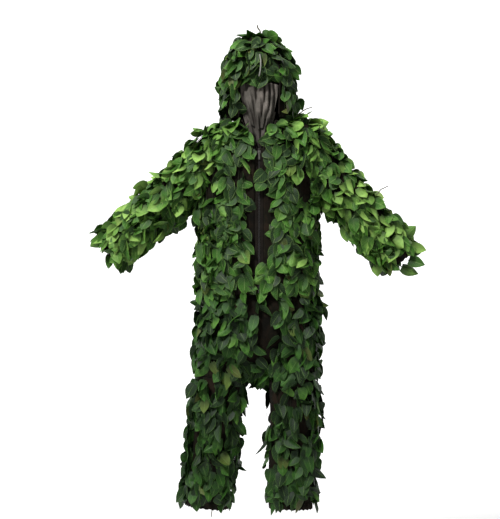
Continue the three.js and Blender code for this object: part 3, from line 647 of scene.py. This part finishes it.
def casing_part(tube, middle, height, gathers, depth, seed, gap=0.0):
    """A gathered hem over elastic: a ring whose section is a flattened oval, height by HEM_THICK,
    moved in and out by gathers that are deepest at the section's two edges. It is whole, or open
    at the front by the angle gap to each side, with its ends drawn shut."""
    rng = np.random.default_rng(seed)
    columns, rows = gathers * 8, 14
    angle = np.linspace(gap, 2 * math.pi - gap, columns, endpoint=gap > 0)[None]
    w = np.linspace(0, 2 * math.pi, rows, endpoint=False)[:, None]
    slack = np.interp(angle, np.linspace(0, 2 * math.pi, 24), np.r_[0, rng.uniform(-1.2, 1.2, 22), 0])
    pleat = np.cos(gathers * angle + slack)
    section = signed_power(np.cos(w), 0.6)
    drop = middle + height / 2 * section * (1 + 0.10 * pleat)
    base, out, down = tube.placed(angle + 0 * w, middle + 0 * drop)
    swell = HEM_THICK / 2 * signed_power(np.sin(w), 0.8) + depth * pleat * (0.5 + 0.5 * section**2)
    points = base + down * (drop - middle)[..., None] + out * swell[..., None]
    if gap:
        points[:, [0, -1]] = points[:, [0, -1]].mean(0)
    around = grid_quads(rows + 1, columns, gap == 0) % (rows * columns)
    girth = float(np.linalg.norm(np.diff(points[0], axis=0), axis=-1).sum())
    u, v = np.broadcast_arrays(angle / (2 * math.pi) * girth, w / (2 * math.pi) * 2 * height)
    return {
        "points": points.reshape(-1, 3),
        "quads": around[:, ::-1],
        "uv": np.stack([u, v], -1).reshape(-1, 2),
        "material": cloth_look,
    }


def on_sleeve(root, angle, drop, rng):
    """Roots outside the body of the jacket, nearly all of them."""
    return ~torso.holds(root, -0.004) & (rng.uniform(0, 1, len(root)) < 0.97)


def dome_drops(reach, start, stop, dome_rows, rows):
    """Drops of a dome's rows, spaced by equal turns of its ellipse, and then of the tube's."""
    turn = np.linspace(0, math.pi / 2, dome_rows)[:-1]
    return np.r_[start - reach * np.cos(turn), np.linspace(start, stop, rows)]


for side, tube in sleeves.items():
    seed = {"left": 31, "right": 41}[side]
    upper, lower = f"upper_sleeve_{side}", f"lower_sleeve_{side}"
    shoulder = ("jacket", upper, tube.axis(-0.02), tube.axis(0.13))
    elbow = (upper, lower, tube.axis(0.235), tube.axis(0.335))
    head = ring(tube, dome_drops(0.084, 0, SLEEVE_SPLIT, 12, 30))
    head_name = f"sleeve_head_{side}_cloth"
    sewn(head_name, head, [upper], "jacket_back_panel_cloth", blend=shoulder)
    rest = ring(tube, np.linspace(SLEEVE_SPLIT, CUFF_DROP[side] + 0.005, 90))
    sewn(f"sleeve_{side}_cloth", rest, [lower], head_name, blend=elbow)
    # The light column is painted light, which makes the sleeves' leaves paler than the jacket's, as the arms
    # tilt up towards the lamps.
    for name, span, columns, add, light, node, joint in (
        ("sleeve_head", (-0.078, SLEEVE_SPLIT - 0.01), 13, 0, 0.42, "upper", shoulder),
        ("sleeve", (SLEEVE_SPLIT, CUFF_DROP[side] - 0.010), 12, 1, 0.54, "lower", elbow),
    ):
        name = f"{name}_{side}_leaf_rows"
        made = leafed(name, tube, span, columns, seed + add, on_sleeve, light=light, lift=0.15, **JACKET)
        attached(made, "jacket_leaf", [f"{node}_sleeve_leaves_{side}"], blend=joint)
    part = casing_part(tube, CUFF_DROP[side], 0.026, 22, 0.0016, seed)
    attached(piece(f"cuff_{side}", part), "base_cloth", [f"cuff_casing_{side}"], ride=lower)
    dressed(f"cuff_elastic_{side}", elastic_look)

# ---- Jacket hem ----
# The jacket's hem is folded into a tunnel for wide elastic, which gathers it a little at the hips.
# It stops at each side of the zip.

HEM_DROP = 0.638

open_front = float(edge_angle(torso, ZIP_EDGE, HEM_DROP))
part = casing_part(torso, HEM_DROP, 0.025, 56, 0.0016, 5, gap=open_front)
attached(piece("jacket_hem", part), "base_cloth", ["jacket_hem_casing"], ride="jacket")
dressed("jacket_hem_elastic", elastic_look)

# ---- Zip ----
# A moulded zip with dark woven tapes is sewn behind the jacket's front edges, with a cloth flap
# behind it. The slider and its pull tab are dark plated metal.

TOOTH_PITCH = 0.0026
TOOTH_HALF = 0.00085

tape_look = woven(
    "zip tape", [(0.3, (0.007, 0.006, 0.005)), (0.7, (0.015, 0.012, 0.009))], patch=90.0, pitch=0.0007,
    faded=(0.024, 0.020, 0.016),
)


def plain_look(name, colour, roughness, metallic, grain_scale):
    """Moulded or plated material: a colour that varies with a fine noise, and scratched roughness."""
    look = Look(name, Metallic=metallic)
    grain = look.noise(look.place(), grain_scale)
    dark = tuple(0.55 * c for c in colour)
    worn = look.math("ADD", look.math("MULTIPLY", grain, 0.35), roughness - 0.15)
    look.fill(look.shader, {"Base Color": look.mixed(grain, dark, colour), "Roughness": worn})
    look.bump(grain, 0.0002, 0.3)
    return look.material


teeth_look = plain_look("zip teeth", (0.020, 0.018, 0.015), 0.5, 0.0, 900.0)
metal_look = plain_look("zip metal", (0.22, 0.21, 0.19), 0.38, 1.0, 700.0)


def boxes_part(centres, half, slope, material):
    """Small blocks, each with its outward half smaller by slope, at an array of centres."""
    corner = np.array([[x, y, z] for z in (-1, 1) for y in (-1, 1) for x in (-1, 1)], float)
    corner[:, 0] *= 1 - slope * (corner[:, 1] < 0)
    points = centres[:, None] + corner[None] * half
    cell = np.array([[0, 2, 3, 1], [4, 5, 7, 6], [0, 1, 5, 4], [2, 6, 7, 3], [0, 4, 6, 2], [1, 3, 7, 5]])
    quads = (cell[None] + (np.arange(len(centres)) * 8)[:, None, None]).reshape(-1, 4)
    return {"points": points.reshape(-1, 3), "quads": quads, "material": material}


def over_box(low, high, rows, columns):
    """Grids of z and x over a node's box, from its top and its right."""
    return np.meshgrid(np.linspace(high.z, low.z, rows), np.linspace(low.x, high.x, columns), indexing="ij")


for side, sign in (("left", 1), ("right", -1)):
    low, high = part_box(f"zip_teeth_{side}")
    z = np.arange(high.z - 0.001, low.z, -TOOTH_PITCH) - (TOOTH_PITCH / 2 if side == "left" else 0)
    z = z[z > low.z + 0.0008]
    inner = sign * 0.0002
    outer = high.x if sign > 0 else low.x
    middle = np.stack([np.full_like(z, (inner + outer) / 2), np.full_like(z, (low.y + high.y) / 2), z], -1)
    half = np.array([abs(outer - inner) / 2, (high.y - low.y) / 2, TOOTH_HALF])
    made = piece(f"zip_chain_{side}", boxes_part(middle, half, 0.25, teeth_look))
    attached(made, "zip_teeth", [f"zip_teeth_{side}"], ride="jacket")
    low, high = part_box(f"zip_tape_{side}")
    z, x = over_box(low, high, 220, 9)
    y = low.y + 0.0003 * (1 + np.sin(z * 95) * np.cos(x * 240 + z * 30))
    part = sheet_part(np.stack([x, y, z], -1), 0.0006, False, tape_look)
    tape, front = f"zip_tape_{side}", f"jacket_front_{side}_cloth"
    sewn(tape + "_woven", part, [tape], front, "zip_tape", held="stretched", ride="jacket")

low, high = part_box("zip_underflap")
z, x = over_box(low, high, 160, 24)
y = low.y + 0.0012 * np.sin(z * 41 + x * 60) * np.sin(z * 17)
part = sheet_part(np.stack([x, y + 0.001, z], -1), CLOTH, False, cloth_look)
sewn("zip_flap_cloth", part, ["zip_underflap"], "jacket_front_right_cloth", ride="jacket")

for node in ("top_stop_left", "top_stop_right", "bottom_box", "insert_pin", "slider", "pull_tab"):
    dressed(f"zip_{node}", metal_look)

# ---- Hood ----
# A deep hood of the same cloth, with a centre panel between two sides, stands round an open face.
# Its edge is bound with dark tape, and strings of leaves hang over the upper half of the opening.

FACE_HALF = 0.074
FACE_ARCH = (0.150, 0.084)
HOOD_PIVOT = 0.178
HOOD_DOME = 0.128

hood = Tube(
    (0, 0, HOOD_PIVOT),
    0,
    [
        (-0.13, 0.072, 0.098),
        (-0.06, 0.097, 0.112),
        (0, 0.111, 0.120),
        (0.088, 0.120, 0.121),
        (0.186, 0.118, 0.104),
    ],
    domes=[(0, -HOOD_DOME)],
    creases=creases(51, 0.004),
)


def face_edge(drop):
    """Half-width of the face opening: straight below FACE_ARCH, an ellipse above it."""
    rise = np.clip((HOOD_PIVOT - drop - FACE_ARCH[0]) / FACE_ARCH[1], 0, 1)
    return FACE_HALF * np.sqrt(1 - rise**2)


hood_drops = dome_drops(HOOD_DOME, 0, 0.184, 34, 40)
hood_edge = edge_angle(hood, face_edge(hood_drops), hood_drops)
part = panel(hood, hood_drops, hood_edge, 2 * math.pi - hood_edge, 150)
covered = ["hood_centre_panel", "hood_side_left", "hood_side_right"]
sewn("hood_cloth", part, covered, "neck_seam_tape", held="gathered", ride="hood")


def tube_along(path, width, depth, out, material, sides=8):
    """A flattened cord along one path: an oval of width by depth whose depth points along out."""
    along = unit(np.gradient(path, axis=0))
    across = unit(np.cross(along, out))
    up = np.cross(across, along)
    turn = np.linspace(0, 2 * math.pi, sides, endpoint=False)[None, :, None]
    points = path[:, None] + across[:, None] * np.cos(turn) * width / 2
    points = points + up[:, None] * np.sin(turn) * depth / 2
    points[0] = points[0].mean(0)
    points[-1] = points[-1].mean(0)
    rows = len(path)
    v, u = np.meshgrid(np.arange(rows) * 0.004, np.arange(sides) * 0.0015, indexing="ij")
    return {
        "points": points.reshape(-1, 3),
        "quads": grid_quads(rows, sides, True),
        "uv": np.stack([u, v], -1).reshape(-1, 2),
        "material": material,
    }


arch = np.linspace(0, math.pi, 90)[:, None]
rim_x = FACE_HALF * np.cos(arch)
rim_z = np.where(np.sin(arch) > 0, FACE_ARCH[0] + FACE_ARCH[1] * np.sin(arch), 0)
straight = np.linspace(0.004, FACE_ARCH[0], 40)[:-1, None]
rim_x = np.concatenate([np.full_like(straight, FACE_HALF), rim_x, np.full_like(straight, -FACE_HALF)])
rim_drop = HOOD_PIVOT - np.concatenate([straight, rim_z, straight[::-1]])
rim_angle = np.sign(rim_x) * edge_angle(hood, np.abs(rim_x), rim_drop)
rim, rim_out, _ = hood.placed(rim_angle[:, 0], rim_drop[:, 0])
made = piece("hood_brim_tape", tube_along(rim + rim_out * 0.001, 0.007, 0.004, rim_out, tape_look))
attached(made, "grey_mesh", ["hood_brim_binding"], ride="hood")


def on_hood(root, angle, drop, rng):
    """Roots clear of the face opening."""
    return ~((root[:, 1] < 0) & (np.abs(root[:, 0]) < face_edge(drop) - 0.004) & (drop > -0.056))


hood_kind = JACKET | {"size": (0.051, 0.042)}
made = leafed("hood_leaf_rows", hood, (-0.100, 0.170), 16, 52, on_hood, light=-0.10, lift=0.20, **hood_kind)
attached(made, "jacket_leaf", ["hood_leaves"], ride="hood")

# The crown is closed by leaves on a spiral, which lie outwards from its middle.
CROWN_LEAVES = 26
rng = np.random.default_rng(53)
turn = np.arange(CROWN_LEAVES) * 2.4
spread = np.linspace(0.004, 0.055, CROWN_LEAVES)
root = np.stack([spread * np.cos(turn), spread * np.sin(turn), 0.305 - 1.6 * spread**1.5], -1)
outward = np.stack([np.cos(turn), np.sin(turn), 0 * turn], -1)
up = unit(outward * 0.25 + np.array([0, 0, 1.0]))
side = by_turns(CROWN_LEAVES)
part = hung_leaves(rng, root, up, outward * 3.4, side, (0.054, 0.044), 0.12, 0.2, -0.06, jacket_leaf_look)
attached(piece("hood_crown_leaves", part), "jacket_leaf", ride="hood")

# Leaves on eight strings hang inside the brim, in its shade, which is painted on them as a light of -0.42.
BRIM_STRINGS = np.array([-0.064, -0.046, -0.028, -0.009, 0.010, 0.029, 0.047, 0.064])
BRIM_ROWS = 6
grid = (len(BRIM_STRINGS), BRIM_ROWS)
x = (BRIM_STRINGS[:, None] + rng.normal(0, 0.003, grid)).ravel()
top = FACE_ARCH[0] + FACE_ARCH[1] * np.sqrt(np.maximum(1 - (BRIM_STRINGS / FACE_HALF) ** 2, 0))
z = (top[:, None] - 0.002 - 0.019 * np.arange(BRIM_ROWS)[None]).ravel() + rng.normal(0, 0.004, len(x))
hangs = z > 0.142
root = np.stack([x, -0.098 - 0.012 * np.cos(x / FACE_HALF * 1.5), z], -1)[hangs]
out = unit(np.stack([x * 4, np.full_like(x, -1), 0 * x], -1))[hangs]
side = by_turns(len(x))[hangs]
part = hung_leaves(rng, root, out, DOWN, side, (0.054, 0.045), 0.10, 0.35, -0.42, jacket_leaf_look)
cords = [
    np.stack([np.full(20, x), np.full(20, -0.100), np.linspace(z, 0.135, 20)], -1)
    for x, z in zip(BRIM_STRINGS, top)
]
made = piece("hood_brim_leaves", part, cord_part(np.stack(cords), CORD, string_look))
attached(made, "jacket_leaf", ride="hood")

# ---- Face veil and neck lining ----
# A curtain of taupe-grey mesh is gathered along the hood's edge below the brim and hangs over the
# mouth and neck. A second piece of it lines the V of the jacket's neck.

# The grey mesh gets painted shade: it is darkened from z 0.03 down to z -0.10, where the neck lies in shadow.
grey_look = woven(
    "grey mesh cloth",
    [(0.30, (0.030, 0.028, 0.023)), (0.50, (0.085, 0.080, 0.068)), (0.72, (0.205, 0.180, 0.160))],
    patch=22.0, pitch=0.0016, faded=(0.20, 0.17, 0.15), painted_shade=(-0.10, 0.03, 0.80, (0.010, 0.009, 0.008)),
)


def gathered(name, top, foot, half_width, front, folds, depth, seed, node, body, hangs_from):
    """A gathered curtain between its top and foot lines: across runs from -1 to 1, x is across times
    the half-width and y is the front line, less a bow of across squared, plus folds whose phase
    drifts with the height."""
    rng = np.random.default_rng(seed)
    c = np.linspace(-1, 1, 170)[None]
    z = top(c) + (foot(c) - top(c)) * np.linspace(0, 1, 80)[:, None]
    drift = 1.5 * np.sin(z * 27 + 2.0 * c + rng.uniform(0, 6)) + 1.9 * np.sin(2.6 * c + rng.uniform(0, 6))
    wave = np.sin(folds * math.pi * c + drift) + 0.45 * np.sin(folds * 1.7 * math.pi * c + 2 + z * 44)
    wave = wave + 0.7 * np.sin(2.3 * c + 30 * z + rng.uniform(0, 6))
    x = half_width(z) * c + 0.0018 * np.cos(folds * math.pi * c + drift)
    y = front(z) * (1 - 0.16 * c**2) + depth * wave * (1 - 0.5 * c**8)
    part = sheet_part(np.stack(np.broadcast_arrays(x, y, z), -1), 0.0008, False, grey_look)
    sewn(name, part, [node], hangs_from, "grey_mesh", held="gathered", ride=body)


gathered(
    "face_veil_gathered", top=lambda c: 0.122 - 0.010 * c**2,
    foot=lambda c: -0.052 + 0.040 * c**2 + 0.003 * np.sin(9 * c),
    half_width=lambda z: 0.069 - 0.034 * np.clip((0.075 - z) / 0.13, 0, 1) ** 1.2,
    front=lambda z: -0.106 + 0 * z, folds=5, depth=0.0066, seed=61, node="face_veil", body="hood",
    hangs_from="hood_brim_tape",
)
gathered(
    "neck_lining_gathered", top=lambda c: 0.016 + 0 * c, foot=lambda c: -0.138 + 0.004 * c,
    half_width=lambda z: 0.006 + 0.056 * np.clip((z + 0.150) / 0.170, 0, 1) ** 0.8,
    front=lambda z: -0.094 - 0.016 * np.clip(-z / 0.1, 0, 1), folds=4, depth=0.0050, seed=62,
    node="neck_lining", body="jacket", hangs_from="neck_seam_tape",
)

v_drop = np.linspace(NECK_V[0], NECK_V[1] + 0.01, 60)
for side, sign in (("left", 1), ("right", -1)):
    path, out, _ = torso.placed(sign * edge_angle(torso, front_edge(v_drop), v_drop), v_drop)
    made = piece(f"neck_edge_tape_{side}", tube_along(path + out * 0.002, 0.007, 0.003, out, tape_look))
    attached(made, "zip_tape", ride="jacket")

# A row of leaves is sewn along each edge of the V and hangs away from it.
rng = np.random.default_rng(64)
drop = np.repeat(np.linspace(0.022, 0.125, 11), 2)
sign = -by_turns(len(drop))
root, out, _ = torso.placed(sign * edge_angle(torso, front_edge(drop) + 0.004, drop), drop)
root = root + out * 0.005
aside = DOWN + np.stack([0.9 * sign, 0 * sign, 0 * sign], -1)
part = hung_leaves(rng, root, out, aside, sign, (0.046, 0.040), 0.1, 0.1, 0.0, jacket_leaf_look, 0.6)
part["points"][:, 1] = -held_in(-part["points"][:, 1], DEEPEST, SQUEEZE)
attached(piece("neck_edge_leaves", part), "jacket_leaf", ride="jacket")

for node in ("neck_seam_tape", "hanger_loop"):
    dressed(node, tape_look)

# ---- Trouser seat ----
# The trousers are cut from the same cloth in a left and a right half, joined by a gusset, with a
# cloth-faced fly at the front and a waist gathered on elastic under the jacket.

SEAT_EDGE = 0.760
SEAT_DOME = 0.185
FORK_LEAVES = 34

seat = Tube(
    (0, 0, 0),
    0,
    [
        (0.536, 0.183, 0.104),
        (0.640, 0.184, 0.106),
        (0.685, 0.206, 0.116),
        (SEAT_EDGE, 0.208, 0.117),
        (0.92, 0.208, 0.117),
    ],
    domes=[(SEAT_EDGE, SEAT_DOME)],
    creases=creases(71, 0.004),
)
turn = np.linspace(0, math.pi / 2, 16)[1:]
down_seat = np.r_[np.linspace(0.550, SEAT_EDGE, 40), SEAT_EDGE + SEAT_DOME * np.sin(turn)]
for side, first, last in (("left", 0, math.pi), ("right", math.pi, 2 * math.pi)):
    part = panel(seat, down_seat, first, last, 110)
    half = f"trouser_seat_{side}"
    sewn(half + "_cloth", part, [half], "trouser_waistband", ride="trousers")

part = casing_part(seat, 0.548, 0.026, 50, 0.0020, 72)
attached(piece("trouser_waistband", part), "base_cloth", ["waistband_casing"], ride="trousers")

dressed("waist_elastic", elastic_look)
dressed("fly_facing", cloth_look)
dressed("crotch_gusset", cloth_look)

trouser_leaf_look = leaf_look(
    "trouser leaf", dark=(0.003, 0.014, 0.002), light=(0.020, 0.082, 0.006), pale=(0.105, 0.235, 0.034),
    vein=(0.17, 0.29, 0.08),
)


def leg_tube(side, splay, seed):
    """The trouser leg of one side, spread that far from upright."""
    table = [(0, 0.088, 0.108), (0.15, 0.086, 0.100), (0.4, 0.082, 0.086), (0.672, 0.077, 0.073)]
    tilt = -side * math.radians(splay)
    return Tube((side * 0.122, 0, -SEAT_EDGE), tilt, table, domes=[(0, -0.075)], creases=creases(seed, 0.005))


legs = {"left": leg_tube(1, 0, 81), "right": leg_tube(-1, 6, 82)}


def off_fly(root):
    """Roots clear of the dark strip at the fly, which lies a little to the wearer's left."""
    return ~((root[:, 1] < 0) & (root[:, 0] > 0.006) & (root[:, 0] < 0.058) & (root[:, 2] > -0.96))


def on_seat(root, angle, drop, rng):
    """Roots clear of the fly and of the legs, all but a twentieth of them."""
    kept = off_fly(root)
    for tube in legs.values():
        kept &= ~tube.holds(root, -0.010)
    return kept & (rng.uniform(0, 1, len(root)) < 0.95)


TROUSERS = {"spacing": 0.022, "size": (0.055, 0.041), "material": trouser_leaf_look, "lift": 0.14}
made = leafed("seat_leaf_rows", seat, (0.632, 0.930), 22, 73, on_seat, light=0.06, turn=0.34, **TROUSERS)
attached(made, "trouser_leaf", ["trouser_seat_leaves_left", "trouser_seat_leaves_right"], ride="trousers")

# Short strings of leaves hang from the fork, between the legs.
rng = np.random.default_rng(74)
x = rng.uniform(-0.052, 0.040, FORK_LEAVES)
y = rng.uniform(-0.075, 0.075, FORK_LEAVES)
root = np.stack([x, y, -0.886 - 0.052 * (1 - (np.abs(y) / 0.09) ** 2)], -1)
out = unit(np.stack([x * 2, np.sign(y), -0.4 + 0 * x], -1))
side = by_turns(FORK_LEAVES)
part = hung_leaves(rng, root, out, DOWN, side, (0.060, 0.044), 0.05, 0.3, 0.0, trouser_leaf_look)
attached(piece("fork_leaves", part), "trouser_leaf", ride="trousers")

# ---- Trouser legs ----
# Each leg is a straight tube covered in strings of leaves, thinner on its inner side, where the
# cloth shows. Its hem is folded over elastic like the cuffs.

LEG_SPLIT = 0.200
LEG_FOOT = 0.672


def on_leg(side):
    """Roots clear of the seat and the fly, and few of them on the inner side below the crotch."""
    sign = 1 if side == "left" else -1

    def keep(root, angle, drop, rng):
        inner = (-sign * np.sin(angle) > 0.80) & (root[:, 2] < -0.97)
        bare = inner & (rng.uniform(0, 1, len(root)) < (0.80 if side == "left" else 0.45))
        return off_fly(root) & ~seat.holds(root, -0.004) & ~bare

    return keep


for side, tube in legs.items():
    seed = {"left": 91, "right": 95}[side]
    thigh, shin = f"thigh_{side}", f"shin_{side}"
    hip = ("trousers", thigh, tube.axis(-0.02), tube.axis(0.15))
    knee = (thigh, shin, tube.axis(0.245), tube.axis(0.355))
    head = ring(tube, dome_drops(0.075, 0, LEG_SPLIT, 12, 36))
    head_name = f"leg_head_{side}_cloth"
    sewn(head_name, head, [thigh], f"trouser_seat_{side}_cloth", blend=hip)
    rest = ring(tube, np.linspace(LEG_SPLIT, LEG_FOOT, 100))
    sewn(f"leg_{side}_cloth", rest, [shin], head_name, blend=knee)
    for name, span, columns, add, light, lift, turn, node, joint in (
        ("leg_head", (-0.020, LEG_SPLIT - 0.01), 12, 0, 0.03, 0.14, 0.32, "thigh", hip),
        ("leg", (LEG_SPLIT, 0.640), 11, 1, 0.0, 0.13, 0.30, "shin", knee),
    ):
        name, kind = f"{name}_{side}_leaf_rows", TROUSERS | {"size": (0.056, 0.041), "lift": lift}
        made = leafed(name, tube, span, columns, seed + add, on_leg(side), light=light, turn=turn, **kind)
        attached(made, "trouser_leaf", [f"{node}_leaves_{side}"], blend=joint)
    part = casing_part(tube, LEG_FOOT - 0.004, 0.026, 26, 0.0018, seed)
    attached(piece(f"ankle_hem_{side}", part), "base_cloth", [f"ankle_casing_{side}"], ride=shin)
    dressed(f"ankle_elastic_{side}", elastic_look)

# ---- Twigs and stray leaves ----
# A few bare stems stand out of the leaves at the crown, the brim, a shoulder and the cuffs, and a
# loose thread at a hem. Single leaves stick out beside them, each on its own stem.

twig_look = plain_look("twig", (0.085, 0.080, 0.050), 0.8, 0.0, 300.0)
grey_twig_look = plain_look("grey twig", (0.24, 0.24, 0.21), 0.8, 0.0, 300.0)


def twig(name, body, look, radius, points):
    """A stem that thins to its tip, along a curve through a few points."""
    points = np.array(points, float)
    along = np.linspace(0, len(points) - 1, 26)
    path = np.stack([eased(along, np.arange(len(points), dtype=float), points[:, k]) for k in range(3)], -1)
    part = tube_along(path, 2 * radius, 2 * radius, np.broadcast_to([0.2, -0.9, 0.3], path.shape), look)
    attached(piece(name, part), "jacket_leaf", ride=body)


twig(
    "crown_twig", "hood", twig_look, 0.0028,
    [(0.008, -0.02, 0.296), (0.004, -0.02, 0.318), (-0.004, -0.02, 0.330), (-0.006, -0.02, 0.341)],
)
twig(
    "brim_twig", "hood", grey_twig_look, 0.0026,
    [(0.002, -0.122, 0.222), (0.006, -0.133, 0.190), (0.004, -0.134, 0.160), (0.000, -0.128, 0.138)],
)
twig(
    "shoulder_twig", "jacket", twig_look, 0.0020,
    [(0.130, -0.05, -0.004), (0.160, -0.05, 0.020), (0.178, -0.05, 0.030), (0.196, -0.05, 0.034)],
)
twig(
    "sleeve_twig_left", "lower_sleeve_left", twig_look, 0.0018,
    [(0.430, -0.060, -0.288), (0.446, -0.062, -0.268), (0.458, -0.064, -0.262), (0.474, -0.064, -0.254)],
)
twig(
    "sleeve_twig_right", "lower_sleeve_right", twig_look, 0.0016,
    [(-0.440, -0.040, -0.420), (-0.446, -0.042, -0.448), (-0.456, -0.043, -0.462), (-0.460, -0.043, -0.474)],
)
twig(
    "hem_thread", "shin_right", twig_look, 0.0016,
    [(-0.176, -0.072, -1.420), (-0.172, -0.074, -1.440), (-0.174, -0.074, -1.456), (-0.172, -0.074, -1.465)],
)


def stray(name, body, size, light, leaves, look=jacket_leaf_look, slot="jacket_leaf"):
    """Single leaves that stand out of the rest, each given by its stem's x, y and z and by the share
    of its direction that goes along x and along z."""
    x, y, z, aside, rise = np.array(leaves, float).T
    root = np.stack([x, y, z], -1)
    along = unit(np.stack([aside, 0 * x, rise], -1))
    rng = np.random.default_rng(len(name))
    out = unit(np.array([0.1, -1.0, 0.2]))
    part = hung_leaves(rng, root, out, along * 4.0, 0.0, size, 0.02, 0.0, light, look, 0.4)
    attached(piece(name, part), slot, ride=body)


stray(
    "stray_leaves_hem", "shin_right", (0.062, 0.042), 0.1,
    [(-0.250, -0.030, -1.325, -0.9, -0.5), (-0.258, -0.020, -1.362, -0.7, -0.9)],
    trouser_leaf_look, "trouser_leaf",
)
stray(
    "stray_leaves_cuff_right", "lower_sleeve_right", (0.050, 0.034), 0.3,
    [
        (-0.560, -0.030, -0.435, -1.2, 0.1),
        (-0.545, -0.030, -0.500, -0.7, -0.8),
        (-0.520, -0.040, -0.505, -0.2, -1.0),
        (-0.498, -0.030, -0.520, 0.1, -1.0),
    ],
)
stray(
    "stray_leaves_cuff_left", "lower_sleeve_left", (0.062, 0.040), 0.4,
    [
        (0.552, -0.035, -0.475, 1.2, -0.2),
        (0.535, -0.030, -0.440, 1.0, 0.5),
        (0.560, -0.020, -0.500, 1.0, -0.3),
        (0.545, -0.040, -0.525, 0.9, -0.7),
        (0.520, -0.030, -0.548, 0.5, -1.0),
    ],
)
stray(
    "stray_leaves_shoulder", "jacket", (0.046, 0.042), 0.3,
    [
        (0.128, -0.03, -0.020, 0.5, 0.9),
        (0.150, -0.04, -0.030, 0.7, 0.8),
        (0.172, -0.03, -0.036, 0.5, 1.0),
        (0.195, -0.04, -0.044, 0.8, 0.8),
        (0.218, -0.03, -0.055, 1.0, 0.9),
        (0.160, 0.01, -0.030, 0.3, 1.0),
        (0.205, 0.01, -0.046, 0.7, 1.0),
    ],
)
stray(
    "stray_leaves_hood", "hood", (0.048, 0.040), 0.25,
    [(-0.122, -0.02, 0.110, -1.0, -0.9), (0.122, -0.02, 0.190, 1.0, -0.6)],
)

# ---- Studio ----
# The suit hangs over a round floor of white paper, low enough for the trousers to drop, that curves
# up into a wall all round. A soft lamp lights it from the upper left, with weaker ones above and right.

FLOOR_Z = -1.775
FLOOR_RADIUS = 8.0
CURVE_RADIUS = 3.0
WALL_HEIGHT = 10.0

turn = np.linspace(0, math.pi / 2, 20)
wall = FLOOR_RADIUS + CURVE_RADIUS
radius = np.r_[0.001, 2.0, 5.0, FLOOR_RADIUS + CURVE_RADIUS * np.sin(turn), wall][:, None]
height = np.r_[0, 0, 0, CURVE_RADIUS - CURVE_RADIUS * np.cos(turn), WALL_HEIGHT][:, None] + FLOOR_Z
angle = np.linspace(0, 2 * math.pi, 96, endpoint=False)[None]
points = np.stack([radius * np.cos(angle), radius * np.sin(angle), height + 0 * angle], -1)
paper = Look("studio paper", Roughness=0.9, Emission_Color=(1, 1, 1))
place = paper.place()
shade = paper.mixed(paper.noise(place, 3.0), (0.42, 0.42, 0.415), (0.46, 0.46, 0.455))
# Painted light: the grey paper glows, faintly in front of the suit and more strongly behind it, so that it
# looks white and lights the suit from behind and the sides like a lamp.
glow = paper.ranged(paper.axes(place)["Y"], -2.5, 5.0, 0.08, 1.05)
paper.fill(paper.shader, {"Base Color": shade, "Emission Strength": glow})
quads = grid_quads(len(radius), angle.size, True)
part = {"points": points.reshape(-1, 3), "quads": quads, "material": paper.material}
piece("studio_paper", part)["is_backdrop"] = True

for name, place, size, power, turn in (
    ("key", (-2.0, -3.2, 3.0), 0.8, 350, (47, 0, -32)),
    ("fill", (3.2, -3.0, 0.8), 3.0, 5, (72, 0, 46)),
    ("top", (0.0, -0.6, 3.6), 1.6, 80, (8, 0, 0)),
):
    lamp = bpy.data.lights.new(name, "AREA")
    lamp.energy = power
    lamp.size = size
    holder = bpy.data.objects.new(name, lamp)
    holder.location = place
    holder.rotation_euler = [math.radians(a) for a in turn]
    bpy.context.scene.collection.objects.link(holder)

world = bpy.data.worlds.new("surround")
world.use_nodes = True
world.node_tree.nodes["Background"].inputs["Color"].default_value = (1, 1, 1, 1)
world.node_tree.nodes["Background"].inputs["Strength"].default_value = 0.02
bpy.context.scene.world = world
bpy.context.scene.view_settings.view_transform = "Standard"

CAMERA_DISTANCE = 6.0
CAMERA_HEIGHT = -0.524

lens = bpy.data.cameras.new("camera")
lens.lens = 112.5
camera = bpy.data.objects.new("camera", lens)
camera.location = (-0.033, -CAMERA_DISTANCE, CAMERA_HEIGHT)
camera.rotation_euler = (math.pi / 2, 0, 0)
bpy.context.scene.collection.objects.link(camera)
bpy.context.scene.camera = camera

low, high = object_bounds()
